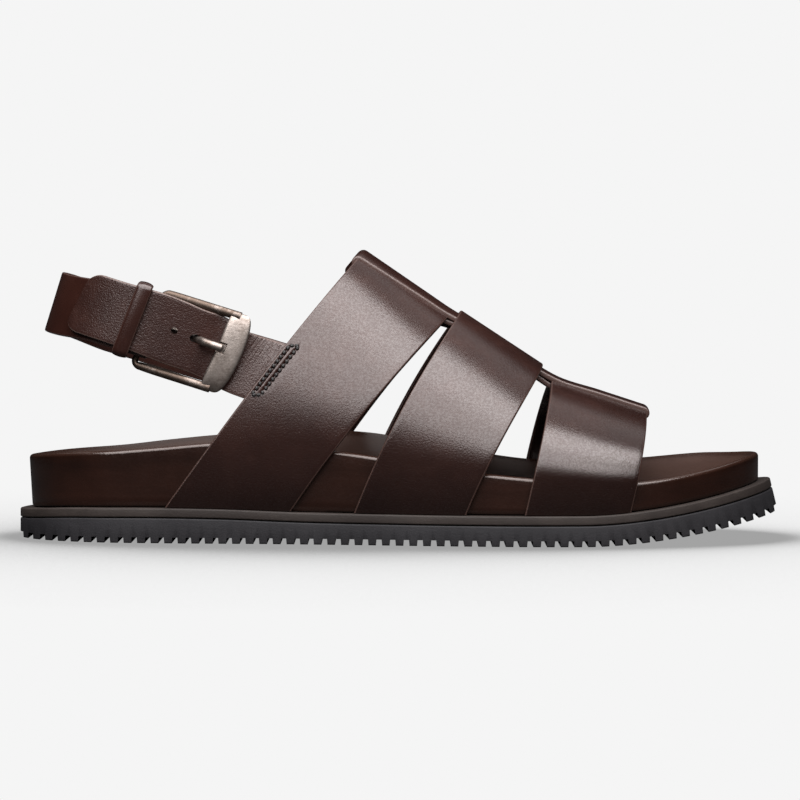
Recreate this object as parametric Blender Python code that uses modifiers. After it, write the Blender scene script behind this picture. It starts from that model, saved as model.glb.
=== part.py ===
"""Fisherman sandal for the right foot, standing empty on its sole.

A ribbed rubber outsole and a thin midsole carry a leather covered, contoured footbed. Three broad
leather straps cross the foot, and one narrower strap runs lengthwise: over the rear strap, under the
middle one and over the front one, folded round both ends. A heel strap closes with a buckle at the
lateral side. Metres, toe along +X, lateral side along -Y, standing on Z = 0.
"""

import math

import bmesh
import bpy
import numpy as np
from mathutils import Vector

MM = 0.001

# Sole: overall sizes
LENGTH = 290 * MM
BALL_WIDTH = 108 * MM
OUTSOLE_THICKNESS = 9.2 * MM
MIDSOLE_THICKNESS = 3.7 * MM
TOE_SPRING = 11 * MM
SPRING_START = 0.74
SPRING_POWER = 1.7
GROOVE_PITCH = 5.1 * MM
GROOVE_WIDTH = 1.9 * MM
GROOVE_DEPTH = 2.2 * MM
GROOVE_FLARE = 1.35
GROOVE_OVERHANG = 10 * MM
GROOVE_DROP = 1.5 * MM
END_GROOVE_INSET = 0.7 * MM

# Footbed: it stands in from the sole's edge by the ledge
LEDGE = 4.6 * MM
RIM_HEIGHT = 25 * MM
RIM_RADIUS = 2.4 * MM
HEEL_FLARE = 1.1 * MM
HEEL_FLARE_END = 0.3
SPINE_HEEL = 0.15
SPINE_TOE = 0.86
CUP_FALL = 2.2

# Cross straps
STRAP_THICKNESS = 2.2 * MM
INSTEP_HEIGHT = 106 * MM
RIDGE_REAR = 2.5 * MM
RIDGE_FRONT = 5 * MM
ARCH_WIDTH_POWER = 2.1
ARCH_HEIGHT_POWER = 2.0

# Centre strap
CENTRE_WIDTH = 25 * MM
CENTRE_THICKNESS = 2.2 * MM
JOIN_DEPTH = 0.8 * MM
LOWER_RUN_STEP = 0.12 * MM
LOWER_RUN_INSET = 0.45 * MM
FOLD_TUCK = 5 * MM
DROP_SHARE = 0.9

# Heel strap, in its own slope: u runs forward along it, up runs across its width
HEEL_STRAP_HEIGHT = 89.3 * MM
HEEL_STRAP_REAR = 14.7 * MM
HEEL_STRAP_SLOPE = 17.0
HEEL_STRAP_WIDTH = 23.4 * MM
HEEL_STRAP_THICKNESS = 2.2 * MM
HEEL_DEPTH = 34 * MM
HEEL_HALF_WIDTH = 28 * MM
SIDE_SPREAD = 0.05
SIDE_EASE = 15 * MM
SIDE_DRIFT = 0.033
HEEL_STRAP_RISE = 2.3 * MM
HEEL_STRAP_DROP = 1.9 * MM
RISE_RUN = 20 * MM
HEEL_STRAP_FOLD = 16 * MM
PIVOT_PAST = 3 * MM
PIVOT_PLACE = HEEL_DEPTH + PIVOT_PAST
TUCK_PAST = 31 * MM
TUCK_RUN = 14 * MM
END_RUN = 17 * MM
TUCK_START = PIVOT_PLACE + TUCK_PAST
TUCK_END = TUCK_START + TUCK_RUN
STRAP_END = TUCK_END + END_RUN
TUCK_EASE = 1.1

# Buckle tab, which comes out from under the rear strap and ends on the heel strap
TAB_TIP = 11 * MM
TAB_WIDTH = 24 * MM
TAB_THICKNESS = 2.2 * MM
TAB_CORNER = 4.5 * MM
TAB_LEAN = 0.16
TAB_LEAN_END = 30 * MM
TAB_HOLE = 3.0 * MM
TAB_HOLE_PITCH = 9.3 * MM

# Buckle
BUCKLE_LENGTH = 36 * MM
BUCKLE_GAUGE = 2.4 * MM
BUCKLE_SPAN = 31.4 * MM
BUCKLE_CORNER = 2.0 * MM
BUCKLE_LEAN = 0.115
BUCKLE_RISE = 1.7 * MM
PIVOT_ROOM = 0.45 * MM
PLATE_WIDTH = 8.7 * MM
PLATE_THICKNESS = 2.4 * MM
PLATE_BOW = 0.6 * MM
PLATE_SWEEP = 1.3 * MM
PLATE_SPREAD = 0.14
PRONG_GAUGE = 2.4 * MM
PRONG_OFFSET = 3.9 * MM
PRONG_DROP = 1.4 * MM
PRONG_REACH = 11.3 * MM
SLOT_MARGIN = 0.4 * MM

# Keeper
KEEPER_BEHIND = 6 * MM
KEEPER_PLACE = PIVOT_PLACE - KEEPER_BEHIND
KEEPER_WIDTH = 5.3 * MM
KEEPER_THICKNESS = 1.1 * MM
KEEPER_CORNER = 1.2 * MM
KEEPER_ROOM = 0.62 * MM
KEEPER_LEAN = 0.065
KEEPER_SKEW = 1.0 * MM

# Clearance between neighbours
GAP = 0.3 * MM

# Mesh fineness
RING_COUNT = 72
STRAP_STEPS_ACROSS = 6
ARCH_STEPS = 10
WALL_STEPS = 2
CENTRE_STEPS_ACROSS = 6
BAND_STEPS_ACROSS = 4
SIDE_STEPS = 9
TAB_STEP = 4 * MM
HEEL_ARC_STEP = 9

# Outline of the sole, from the heel's end along the lateral side to the toe and back along the
# medial side: shares of LENGTH from the heel and of BALL_WIDTH, medial positive
OUTLINE = (
    # along, across
    (0.000, 0.000),
    (0.035, -0.200),
    (0.100, -0.315),
    (0.200, -0.362),
    (0.330, -0.385),
    (0.450, -0.425),
    (0.570, -0.475),
    (0.680, -0.500),
    (0.790, -0.470),
    (0.880, -0.380),
    (0.950, -0.235),
    (0.990, -0.070),
    (1.000, 0.060),
    (0.985, 0.220),
    (0.940, 0.360),
    (0.870, 0.450),
    (0.770, 0.500),
    (0.660, 0.465),
    (0.540, 0.375),
    (0.430, 0.320),
    (0.320, 0.315),
    (0.200, 0.338),
    (0.100, 0.308),
    (0.035, 0.200),
)

# Outsole thickness: share of LENGTH, share of OUTSOLE_THICKNESS
THICKNESS_ALONG = (
    # along, thickness
    (0.00, 0.80),
    (0.06, 0.95),
    (0.12, 1.00),
    (0.25, 1.00),
    (0.38, 0.88),
    (0.50, 0.84),
    (0.75, 0.84),
    (1.00, 0.92),
)

# Height of the footbed over the sole: share of LENGTH, then shares of RIM_HEIGHT at the lateral
# rim, at the medial rim and at the seat between them
FOOTBED_ALONG = (
    # along, lateral, medial, seat
    (0.00, 0.80, 0.80, 0.54),
    (0.08, 0.83, 0.81, 0.53),
    (0.13, 0.855, 0.835, 0.53),
    (0.19, 0.91, 0.91, 0.55),
    (0.26, 0.99, 1.00, 0.60),
    (0.33, 1.01, 1.08, 0.65),
    (0.40, 0.95, 1.125, 0.66),
    (0.46, 0.865, 1.09, 0.62),
    (0.53, 0.75, 0.95, 0.53),
    (0.60, 0.635, 0.79, 0.45),
    (0.67, 0.555, 0.67, 0.38),
    (0.75, 0.49, 0.625, 0.34),
    (0.83, 0.435, 0.605, 0.31),
    (0.91, 0.425, 0.55, 0.29),
    (0.97, 0.43, 0.45, 0.29),
    (1.00, 0.42, 0.42, 0.29),
)

# Cross straps: places of the rear and front edge at the feet and at the crest, as shares of LENGTH;
# crest heights as shares of INSTEP_HEIGHT; how far the medial foot stands forward, as a share of
# LENGTH; and how much each edge sags back between foot and crest
CROSS_STRAPS = {
    # foot rear, foot front, crest rear, crest front, height rear, height front, medial, sag, sag
    "rear_strap": (0.198, 0.361, 0.446, 0.563, 1.010, 0.792, 0.015, 0.10, 0.19),
    "middle_strap": (0.442, 0.586, 0.576, 0.685, 0.803, 0.608, 0.000, 0.28, 0.26),
    "front_strap": (0.660, 0.795, 0.697, 0.822, 0.557, 0.446, 0.000, 0.00, 0.00),
}

# Buckle tab: place along the heel strap as a share of the pivot's place, height of the tab's inner
# face over the heel strap's inner face as a share of TAB_THICKNESS, then the rise of its middle
# line and its width as shares of TAB_WIDTH
TAB_ALONG = (
    # along, out, rise, width
    (0.25, 1.14, 0.162, 0.990),
    (0.68, 1.14, 0.162, 0.990),
    (0.92, 1.27, 0.162, 1.010),
    (1.09, 1.25, 0.155, 1.033),
    (1.30, 0.90, 0.133, 1.033),
    (1.51, 0.30, 0.108, 1.005),
    (1.69, -0.50, 0.071, 1.015),
    (1.82, -0.55, 0.021, 1.017),
    (1.97, -0.55, -0.017, 1.000),
    (2.29, -0.45, -0.046, 0.980),
    (2.76, -0.30, -0.055, 0.980),
)

# Folded end of the heel strap: how far back from the pivot, as a share of HEEL_STRAP_FOLD, and how
# far in its near face lies from the heel strap's, as a share of the turn round the pivot
FOLD_ALONG = (
    # back, inward
    (0.00, 2.00),
    (0.20, 1.35),
    (0.45, 0.45),
    (1.00, 0.25),
)

LEATHER_BROWN = (0.040, 0.018, 0.012, 1)
FOOTBED_BROWN = (0.050, 0.022, 0.014, 1)
MIDSOLE_GREY = (0.085, 0.070, 0.060, 1)
RUBBER_CHARCOAL = (0.030, 0.030, 0.033, 1)
ANTIQUE_NICKEL = (0.330, 0.290, 0.260, 1)


def smooth_curve(places, values):
    """A function that runs smoothly through the values at the places."""
    places = np.asarray(places, float)
    values = np.asarray(values, float)
    slopes = np.gradient(values, places)

    def read(place):
        place = np.clip(place, places[0], places[-1])
        i = int(np.clip(np.searchsorted(places, place) - 1, 0, len(places) - 2))
        span = places[i + 1] - places[i]
        t = (place - places[i]) / span
        start = (1 + 2 * t) * (1 - t) ** 2 * values[i] + t * (1 - t) ** 2 * span * slopes[i]
        end = t * t * (3 - 2 * t) * values[i + 1] - t * t * (1 - t) * span * slopes[i + 1]
        return float(start + end)

    return read


def column(table, number):
    """One column of a table, as a smooth function of its first column."""
    rows = np.array(table)
    return smooth_curve(rows[:, 0], rows[:, number])


def between(start, end, share):
    return start + (end - start) * share


def ease(start, end, value):
    """0 before start, 1 after end, and a soft step between."""
    t = min(max((value - start) / (end - start), 0), 1)
    return t * t * (3 - 2 * t)


# Scene and mesh helpers


def clear_scene():
    for obj in list(bpy.data.objects):
        bpy.data.objects.remove(obj, do_unlink=True)


def new_collection(name):
    collection = bpy.data.collections.new(name)
    bpy.context.scene.collection.children.link(collection)
    return collection


def new_material(name, colour, roughness, metallic=0.0):
    material = bpy.data.materials.new(name)
    material.use_nodes = True
    shader = material.node_tree.nodes["Principled BSDF"]
    shader.inputs["Base Color"].default_value = colour
    shader.inputs["Roughness"].default_value = roughness
    shader.inputs["Metallic"].default_value = metallic
    material.diffuse_color = colour
    return material


def new_object(name, mesh, collection, material=None):
    obj = bpy.data.objects.new(name, mesh)
    collection.objects.link(obj)
    if material:
        mesh.materials.append(material)
    return obj


def helper(obj):
    """Marks an object that only cuts or joins another."""
    obj.hide_render = True
    obj.display_type = "WIRE"
    return obj


def mesh_from_rings(name, rings, closed_rings=True, filled_ends=False, merge=0.00002):
    """A mesh whose faces join each ring of points to the next."""
    bm = bmesh.new()
    grid = [[bm.verts.new(point) for point in ring] for ring in rings]
    count = len(rings[0])
    steps = count if closed_rings else count - 1
    for lower, upper in zip(grid, grid[1:]):
        for i in range(steps):
            j = (i + 1) % count
            bm.faces.new((lower[i], lower[j], upper[j], upper[i]))
    if filled_ends:
        bm.faces.new(list(reversed(grid[0])))
        bm.faces.new(grid[-1])
    bmesh.ops.remove_doubles(bm, verts=bm.verts, dist=merge)
    bmesh.ops.recalc_face_normals(bm, faces=bm.faces)
    mesh = bpy.data.meshes.new(name)
    bm.to_mesh(mesh)
    bm.free()
    mesh.shade_smooth()
    return mesh


def face_away_from(mesh, inside):
    """Turns an open sheet so that its faces look away from the inside point."""
    bm = bmesh.new()
    bm.from_mesh(mesh)
    facing = sum(
        face.calc_area() * face.normal.dot(face.calc_center_median() - Vector(inside))
        for face in bm.faces
    )
    if facing < 0:
        bmesh.ops.reverse_faces(bm, faces=bm.faces)
    bm.to_mesh(mesh)
    bm.free()


def add_wall(obj, thickness, offset=1.0):
    wall = obj.modifiers.new("Wall", "SOLIDIFY")
    wall.thickness = thickness
    wall.offset = offset
    wall.use_even_offset = True


def add_boolean(obj, other, operation, solver="EXACT"):
    step = obj.modifiers.new(other.name, "BOOLEAN")
    step.operation = operation
    step.solver = solver
    step.object = other


def add_collection_cut(obj, cutters):
    step = obj.modifiers.new(cutters.name, "BOOLEAN")
    step.operation = "DIFFERENCE"
    step.operand_type = "COLLECTION"
    step.collection = cutters
    step.solver = "EXACT"


def tube(name, points, radius, collection, material=None):
    """A round bar through the points, as a closed mesh."""
    curve = bpy.data.curves.new(name, "CURVE")
    curve.dimensions = "3D"
    curve.bevel_depth = radius
    curve.bevel_resolution = 2
    curve.use_fill_caps = True
    spline = curve.splines.new("POLY")
    spline.points.add(len(points) - 1)
    for target, point in zip(spline.points, points):
        target.co = (*point, 1)
    source = bpy.data.objects.new(name + "_curve", curve)
    collection.objects.link(source)
    bpy.context.view_layer.update()
    graph = bpy.context.evaluated_depsgraph_get()
    mesh = bpy.data.meshes.new_from_object(source.evaluated_get(graph))
    bpy.data.objects.remove(source, do_unlink=True)
    bm = bmesh.new()
    bm.from_mesh(mesh)
    bmesh.ops.remove_doubles(bm, verts=bm.verts, dist=0.00001)
    bmesh.ops.recalc_face_normals(bm, faces=bm.faces)
    bm.to_mesh(mesh)
    bm.free()
    mesh.shade_smooth()
    return new_object(name, mesh, collection, material)


def smooth_path(points, steps):
    """Points along a smooth open path through the given ones, measured by their first two columns."""
    points = np.array(points, float)
    lengths = np.linalg.norm(np.diff(points[:, :2], axis=0), axis=1)
    places = np.concatenate([[0], np.cumsum(lengths)])
    axes = [smooth_curve(places, points[:, k]) for k in range(points.shape[1])]
    found = []
    for start, end in zip(places, places[1:]):
        found += [between(start, end, k / steps) for k in range(steps)]
    found.append(places[-1])
    return [tuple(axis(place) for axis in axes) for place in found]


# The sole's form


def outline_points():
    """The outline from heel to toe and back, fitted to the sole's length and ball width."""
    rows = np.array(OUTLINE) * (LENGTH, BALL_WIDTH)
    wrap = 3
    looped = np.vstack([rows[-wrap:], rows, rows[: wrap + 1]])
    steps = np.linalg.norm(np.diff(looped, axis=0), axis=1)
    places = np.concatenate([[0], np.cumsum(steps)])
    along = smooth_curve(places, looped[:, 0])
    across = smooth_curve(places, looped[:, 1])
    heel, toe, end = places[wrap], places[wrap + len(rows) // 2], places[wrap + len(rows)]
    half = round(RING_COUNT / 2)
    sampled = list(np.linspace(heel, toe, half, endpoint=False))
    sampled += list(np.linspace(toe, end, half, endpoint=False))
    found = np.array([(along(place), across(place)) for place in sampled])
    low, high = found.min(axis=0), found.max(axis=0)
    return (found - (low + high) / 2) / (high - low) * (LENGTH, BALL_WIDTH)


def outward(points):
    """The outward direction at each point of the outline."""
    tangent = np.roll(points, -1, axis=0) - np.roll(points, 1, axis=0)
    normal = np.stack([tangent[:, 1], -tangent[:, 0]], axis=1)
    normal /= np.linalg.norm(normal, axis=1)[:, None]
    if (normal * points).sum() < 0:
        normal = -normal
    return normal


def share_of(x):
    return x / LENGTH + 0.5


def spring(x):
    """How high the sole's underside lifts at x."""
    past = max(share_of(x) - SPRING_START, 0) / (1 - SPRING_START)
    return TOE_SPRING * past**SPRING_POWER


def spring_slope(x):
    past = max(share_of(x) - SPRING_START, 0) / (1 - SPRING_START)
    return TOE_SPRING * SPRING_POWER * past ** (SPRING_POWER - 1) / ((1 - SPRING_START) * LENGTH)


THICKNESS = column(THICKNESS_ALONG, 1)
RIM_LATERAL = column(FOOTBED_ALONG, 1)
RIM_MEDIAL = column(FOOTBED_ALONG, 2)
SEAT = column(FOOTBED_ALONG, 3)
EDGE = outline_points()
EDGE_OUT = outward(EDGE)


def outsole_top(x):
    return OUTSOLE_THICKNESS * THICKNESS(share_of(x))


def midsole_bottom(x):
    return outsole_top(x) + GAP


def sole_top(x):
    return outsole_top(x) + MIDSOLE_THICKNESS


def sole_point(x, y, level):
    """A point of the sole at a level over its underside, square to the toe spring."""
    return x - spring_slope(x) * level, y, spring(x) + level


def spine_of(points):
    """The middle line: the two outline points across from each other share one place on it."""
    count = len(points)
    middles = np.array([(points[i] + points[-i % count]) / 2 for i in range(count // 2 + 1)])
    inner = [i for i, (x, _) in enumerate(middles) if SPINE_HEEL <= share_of(x) <= SPINE_TOE]
    return np.array(
        [middles[min(max(min(i, count - i), inner[0]), inner[-1])] for i in range(count)]
    )


SPINE = spine_of(EDGE)


def sole_layer(name, low_level, high_level, collection, material):
    """A layer of the sole between two levels."""
    rings = []
    for points, level in ((SPINE, low_level), (EDGE, low_level), (EDGE, high_level), (SPINE, high_level)):
        rings.append([sole_point(x, y, level(x)) for x, y in points])
    return new_object(name, mesh_from_rings(name, rings), collection, material)


def groove_cutter(number, x, collection):
    """A bar across the sole with its wider side down."""
    bm = bmesh.new()
    bmesh.ops.create_cube(bm, size=1)
    for vert in bm.verts:
        wide = GROOVE_FLARE if vert.co.z < 0 else 1
        vert.co.x *= GROOVE_WIDTH * wide
        vert.co.y *= BALL_WIDTH + 2 * GROOVE_OVERHANG
        vert.co.z = GROOVE_DEPTH if vert.co.z > 0 else -GROOVE_DROP
    mesh = bpy.data.meshes.new(f"groove_{number:02d}")
    bm.to_mesh(mesh)
    bm.free()
    cutter = helper(new_object(mesh.name, mesh, collection))
    cutter.location = (x, 0, spring(x))
    cutter.rotation_euler = (0, -math.atan(spring_slope(x)), 0)


def build_outsole(parts, helpers, material):
    outsole = sole_layer("outsole", lambda x: 0.0, outsole_top, parts, material)
    count = round(LENGTH / GROOVE_PITCH)
    furthest = LENGTH / 2 - END_GROOVE_INSET
    for number in range(count + 1):
        x = (number / count - 0.5) * LENGTH
        groove_cutter(number, min(max(x, -furthest), furthest), helpers)
    add_collection_cut(outsole, helpers)


# The footbed's form


def footbed_plan(inset, flare):
    """The footbed's outline in from the sole's edge, moved back with the toe spring."""
    found = []
    for (x, y), (nx, ny) in zip(EDGE, EDGE_OUT):
        share = share_of(x)
        out = flare * HEEL_FLARE * max(0.0, 1 - share / HEEL_FLARE_END) - LEDGE - inset
        px, py = x + nx * out, y + ny * out
        found.append((px - spring_slope(px) * sole_top(px), py, px))
    return found


def rim_height(y, spine_y, x):
    """Height of the rim over the sole, blended from one side to the other round heel and toe."""
    share = share_of(x)
    side = ease(-0.25 * BALL_WIDTH, 0.25 * BALL_WIDTH, y - spine_y)
    return RIM_HEIGHT * between(RIM_LATERAL(share), RIM_MEDIAL(share), side)


def build_footbed(parts, material):
    """Rings from the underside's middle line out, up the wall, over the rim and down into the seat."""
    wall_foot = footbed_plan(0, 0)
    wall_head = footbed_plan(0, 1)
    rim_turn = footbed_plan(RIM_RADIUS * (1 - math.cos(math.radians(45))), 1)
    rim_top = footbed_plan(RIM_RADIUS, 1)
    bases = []
    rims = []
    for i, (_, y, x) in enumerate(wall_foot):
        bases.append(spring(x) + sole_top(x) + GAP)
        rims.append(rim_height(y, SPINE[i][1], x) - GAP)
    middles = []
    for x, y in SPINE:
        px = x - spring_slope(x) * sole_top(x)
        middles.append((px, y, spring(x) + sole_top(x) + GAP, RIM_HEIGHT * SEAT(share_of(x))))
    corner = RIM_RADIUS * (1 - math.sin(math.radians(45)))
    rings = [
        [(x, y, base) for x, y, base, _ in middles],
        [(x, y, base) for (x, y, _), base in zip(wall_foot, bases)],
        [(x, y, base + rim - RIM_RADIUS) for (x, y, _), base, rim in zip(wall_head, bases, rims)],
        [(x, y, base + rim - corner) for (x, y, _), base, rim in zip(rim_turn, bases, rims)],
        [(x, y, base + rim) for (x, y, _), base, rim in zip(rim_top, bases, rims)],
    ]
    for q in (0.05, 0.14, 0.27, 0.45, 0.7, 1.0):
        fall = 1 - (1 - q) ** CUP_FALL
        ring = []
        for (x, y, _), base, rim, middle in zip(rim_top, bases, rims, middles):
            height = between(base + rim, middle[2] + middle[3], fall)
            ring.append((between(x, middle[0], q), between(y, middle[1], q), height))
        rings.append(ring)
    mesh = mesh_from_rings("footbed", rings)
    return new_object("footbed", mesh, parts, material)


def side_tables():
    """The footbed's wall as tables along x, one for each side: x, y, ledge height and rim height."""
    plan = footbed_plan(0, 1)
    rows = []
    for i, (px, py, x) in enumerate(plan):
        base = spring(x) + sole_top(x)
        rows.append((px, py, base, base + rim_height(py, SPINE[i][1], x)))
    rows = np.array(rows)
    found = {}
    for side, chosen in ((-1, rows[:, 1] < SPINE[:, 1]), (1, rows[:, 1] > SPINE[:, 1])):
        part = rows[chosen]
        found[side] = part[np.argsort(part[:, 0])].T
    return found


WALLS = side_tables()


def wall_at(x, side):
    """The wall's place across, the ledge's height and the rim's height at x."""
    table = WALLS[side]
    return tuple(float(np.interp(x, table[0], table[k])) for k in (1, 2, 3))


# The upper's straps


def ridge_at(x):
    """Where the crest of the straps lies across the foot."""
    start = (CROSS_STRAPS["rear_strap"][2] - 0.5) * LENGTH
    end = (CROSS_STRAPS["front_strap"][3] - 0.5) * LENGTH
    return between(RIDGE_REAR, RIDGE_FRONT, (x - start) / (end - start))


def arch_height(reach):
    """Height share of the arch where it stands out to a share of its half width."""
    return (1 - min(abs(reach), 1) ** ARCH_WIDTH_POWER) ** (1 / ARCH_HEIGHT_POWER)


def strap_line(strap, across):
    """Foot place, crest place, crest height, medial shift and sag of one line along a strap."""
    row = CROSS_STRAPS[strap]
    foot = (between(row[0], row[1], across) - 0.5) * LENGTH
    crest = (between(row[2], row[3], across) - 0.5) * LENGTH
    height = between(row[4], row[5], across) * INSTEP_HEIGHT
    return foot, crest, height, row[6] * LENGTH, between(row[7], row[8], across)


def strap_point(strap, across, side, wall_share, turn):
    """A point of a strap's inner face: up the footbed's wall first, then over the foot."""
    foot, crest, height, medial, sag = strap_line(strap, across)
    if side > 0:
        foot += medial
    _, ledge, rim = wall_at(foot, side)
    foot_height = ledge + GAP
    if turn is None:
        z = between(foot_height, rim, wall_share)
        reach = 1.0
    else:
        reach = math.cos(turn) ** (2 / ARCH_WIDTH_POWER)
        z = between(rim, height, math.sin(turn) ** (2 / ARCH_HEIGHT_POWER))
    share = (z - foot_height) / (height - foot_height)
    x = between(foot, crest, share - sag * share * (1 - share))
    wall = wall_at(x, side)[0] + side * GAP
    return x, between(ridge_at(x), wall, reach), z


def strap_row(strap, across):
    """One line along a strap, from its lateral foot over the crest to its medial foot."""
    lateral = [strap_point(strap, across, -1, k / WALL_STEPS, None) for k in range(WALL_STEPS)]
    medial = [strap_point(strap, across, 1, k / WALL_STEPS, None) for k in range(WALL_STEPS)]
    turns = [0.5 * math.pi * k / ARCH_STEPS for k in range(ARCH_STEPS + 1)]
    lateral += [strap_point(strap, across, -1, 1, turn) for turn in turns]
    medial += [strap_point(strap, across, 1, 1, turn) for turn in turns[:-1]]
    return lateral + medial[::-1]


def under_arch(strap):
    """A point in the middle of a strap's arch."""
    foot, crest, height, _, _ = strap_line(strap, 0.5)
    return between(foot, crest, 0.5), ridge_at(crest), between(wall_at(crest, -1)[2], height, 0.4)


def build_cross_strap(strap, collection, material=None):
    rows = [strap_row(strap, k / STRAP_STEPS_ACROSS) for k in range(STRAP_STEPS_ACROSS + 1)]
    mesh = mesh_from_rings(strap, rows, closed_rings=False)
    face_away_from(mesh, under_arch(strap))
    obj = new_object(strap, mesh, collection, material)
    add_wall(obj, STRAP_THICKNESS)
    return obj


def crest_frame(strap):
    """The crest line's rear end, its direction, its upward normal and its length, in X and Z."""
    _, rear, rear_height, _, _ = strap_line(strap, 0)
    _, front, front_height, _, _ = strap_line(strap, 1)
    start = np.array((rear, rear_height))
    run = np.array((front, front_height)) - start
    length = float(np.linalg.norm(run))
    run /= length
    return start, run, np.array((-run[1], run[0])), length


def crest_point(strap, share, past, out):
    """A point by a strap's crest line: at a share of its length and so far past that, and so far out.

    The distance out is from the inner face.
    """
    start, run, normal, length = crest_frame(strap)
    return tuple(start + run * (share * length + past) + normal * out)


def lean_of(strap, share):
    """How far a line of a strap leans forward for each metre of its height."""
    foot, crest, height, _, sag = strap_line(strap, share)
    return (crest - foot) / (height - wall_at(foot, -1)[1]) * (1 + sag)


def centre_station(strap, share, past, low, high, shift=0.0):
    """Two points of the centre strap's long section, one on each face, and the lean there.

    low and high are distances out from the cross strap's inner face, and the low point may be
    shifted along.
    """
    return (
        *crest_point(strap, share, past, high),
        *crest_point(strap, share, past + shift, low),
        lean_of(strap, share),
    )


def fold_stations(strap, share, way):
    """The centre strap's turn round the end of a cross strap, from under it to over it."""
    past_edge = CENTRE_THICKNESS - JOIN_DEPTH
    radius = STRAP_THICKNESS / 2 + past_edge
    core = STRAP_THICKNESS / 2 - JOIN_DEPTH
    found = [centre_station(strap, share, way * FOLD_TUCK, JOIN_DEPTH, -past_edge)]
    for angle in range(-90, 91, 30):
        cosine, sine = math.cos(math.radians(angle)), math.sin(math.radians(angle))
        past = way * (radius * (1 - cosine) - past_edge)
        inner = way * (JOIN_DEPTH + core * (1 - cosine))
        low = STRAP_THICKNESS / 2 + core * sine
        high = STRAP_THICKNESS / 2 + radius * sine
        found.append(centre_station(strap, share, past, low, high, inner - past))
    return found


def centre_upper_run():
    """Over the rear strap, under the middle one and over the front one, folded round both ends."""
    over = (STRAP_THICKNESS - JOIN_DEPTH, STRAP_THICKNESS - JOIN_DEPTH + CENTRE_THICKNESS)
    under = (JOIN_DEPTH - CENTRE_THICKNESS, JOIN_DEPTH)
    rear_fold = fold_stations("rear_strap", 0, 1)
    front_fold = fold_stations("front_strap", 1, -1)[::-1]
    free = [
        rear_fold[-1],
        centre_station("rear_strap", 0.4, 0, *over),
        centre_station("rear_strap", 0.75, 0, *over),
        centre_station("rear_strap", 0.95, 0, *over),
        centre_station("middle_strap", 0.07, 0, *under),
        centre_station("middle_strap", 0.5, 0, *under),
        centre_station("middle_strap", 0.93, 0, *under),
        centre_station("front_strap", 0.05, 0, *over),
        centre_station("front_strap", 0.5, 0, *over),
        front_fold[0],
    ]
    return rear_fold[:-1] + smooth_path(free, 3) + front_fold[1:]


def centre_lower_run():
    """The strap's way back under all three cross straps."""
    top = JOIN_DEPTH - LOWER_RUN_STEP
    under = (top - CENTRE_THICKNESS, top)
    layered = JOIN_DEPTH / 2 - CENTRE_THICKNESS
    beneath = (layered + JOIN_DEPTH - CENTRE_THICKNESS, layered + JOIN_DEPTH)
    free = [
        centre_station("rear_strap", 0, 0.8 * FOLD_TUCK, *under),
        centre_station("rear_strap", 0.5, 0, *under),
        centre_station("rear_strap", 0.95, 0, *under),
        centre_station("middle_strap", 0.07, 0, *beneath),
        centre_station("middle_strap", 0.5, 0, *beneath),
        centre_station("middle_strap", 0.93, 0, *beneath),
        centre_station("front_strap", 0.05, 0, *under),
        centre_station("front_strap", 0.5, 0, *under),
        centre_station("front_strap", 1, -0.8 * FOLD_TUCK, *under),
    ]
    return smooth_path(free, 2)


def centre_point(x, z, lean, aside):
    """A point of the centre strap: it drops to each side as the cross straps below it do."""
    ridge = ridge_at(x)
    y = ridge + aside
    wall, _, rim = wall_at(x, 1 if aside > 0 else -1)
    drop = DROP_SHARE * (z - rim) * (1 - arch_height(aside / (wall - ridge)))
    return x - lean * drop, y, z - drop


def build_centre_run(name, stations, half_width, collection):
    """A run of the centre strap, as rings across it."""
    places = np.linspace(-half_width, half_width, CENTRE_STEPS_ACROSS + 1)
    rings = []
    for high_x, high_z, low_x, low_z, lean in stations:
        upper_face = [centre_point(high_x, high_z, lean, aside) for aside in places]
        lower_face = [centre_point(low_x, low_z, lean, aside) for aside in places[::-1]]
        rings.append(upper_face + lower_face)
    mesh = mesh_from_rings(name, rings, filled_ends=True)
    return new_object(name, mesh, collection)


def build_upper(parts, helpers, material):
    """The three cross straps and the centre strap, joined where they cross.

    The EXACT solver loses the straps where their faces nearly coincide, so this uses MANIFOLD.
    """
    upper = build_cross_strap("rear_strap", parts, material)
    upper.name = "upper"
    others = [build_cross_strap(strap, helpers) for strap in ("middle_strap", "front_strap")]
    half = CENTRE_WIDTH / 2
    others.append(build_centre_run("centre_upper_run", centre_upper_run(), half, helpers))
    half -= LOWER_RUN_INSET
    others.append(build_centre_run("centre_lower_run", centre_lower_run(), half, helpers))
    for other in others:
        add_boolean(upper, helper(other), "UNION", "MANIFOLD")


# The heel strap and its buckle: u forward, out from the foot, up across the strap's width


def heel_reference(u):
    """Half width of the heel strap's inner face at u, and its outward direction in u and across."""
    if u < HEEL_DEPTH:
        cosine = 1 - u / HEEL_DEPTH
        sine = math.sqrt(1 - cosine**2)
        half = HEEL_HALF_WIDTH * sine
        normal = (-HEEL_HALF_WIDTH * cosine, HEEL_DEPTH * sine)
    else:
        past = u - HEEL_DEPTH
        root = math.hypot(past, SIDE_EASE)
        half = HEEL_HALF_WIDTH + SIDE_SPREAD * (root - SIDE_EASE)
        normal = (-SIDE_SPREAD * past / root, 1)
    size = math.hypot(*normal)
    return half, normal[0] / size, normal[1] / size


def beside(u, out, up, side=-1):
    """A point beside the heel, in the heel strap's slope."""
    half, normal_u, normal_out = heel_reference(u)
    along = u + normal_u * out
    across = side * (half + normal_out * out) - SIDE_DRIFT * along
    slope = math.radians(HEEL_STRAP_SLOPE)
    x = HEEL_STRAP_REAR - LENGTH / 2 + along * math.cos(slope) + up * math.sin(slope)
    z = HEEL_STRAP_HEIGHT - along * math.sin(slope) + up * math.cos(slope)
    return x, across, z


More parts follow.
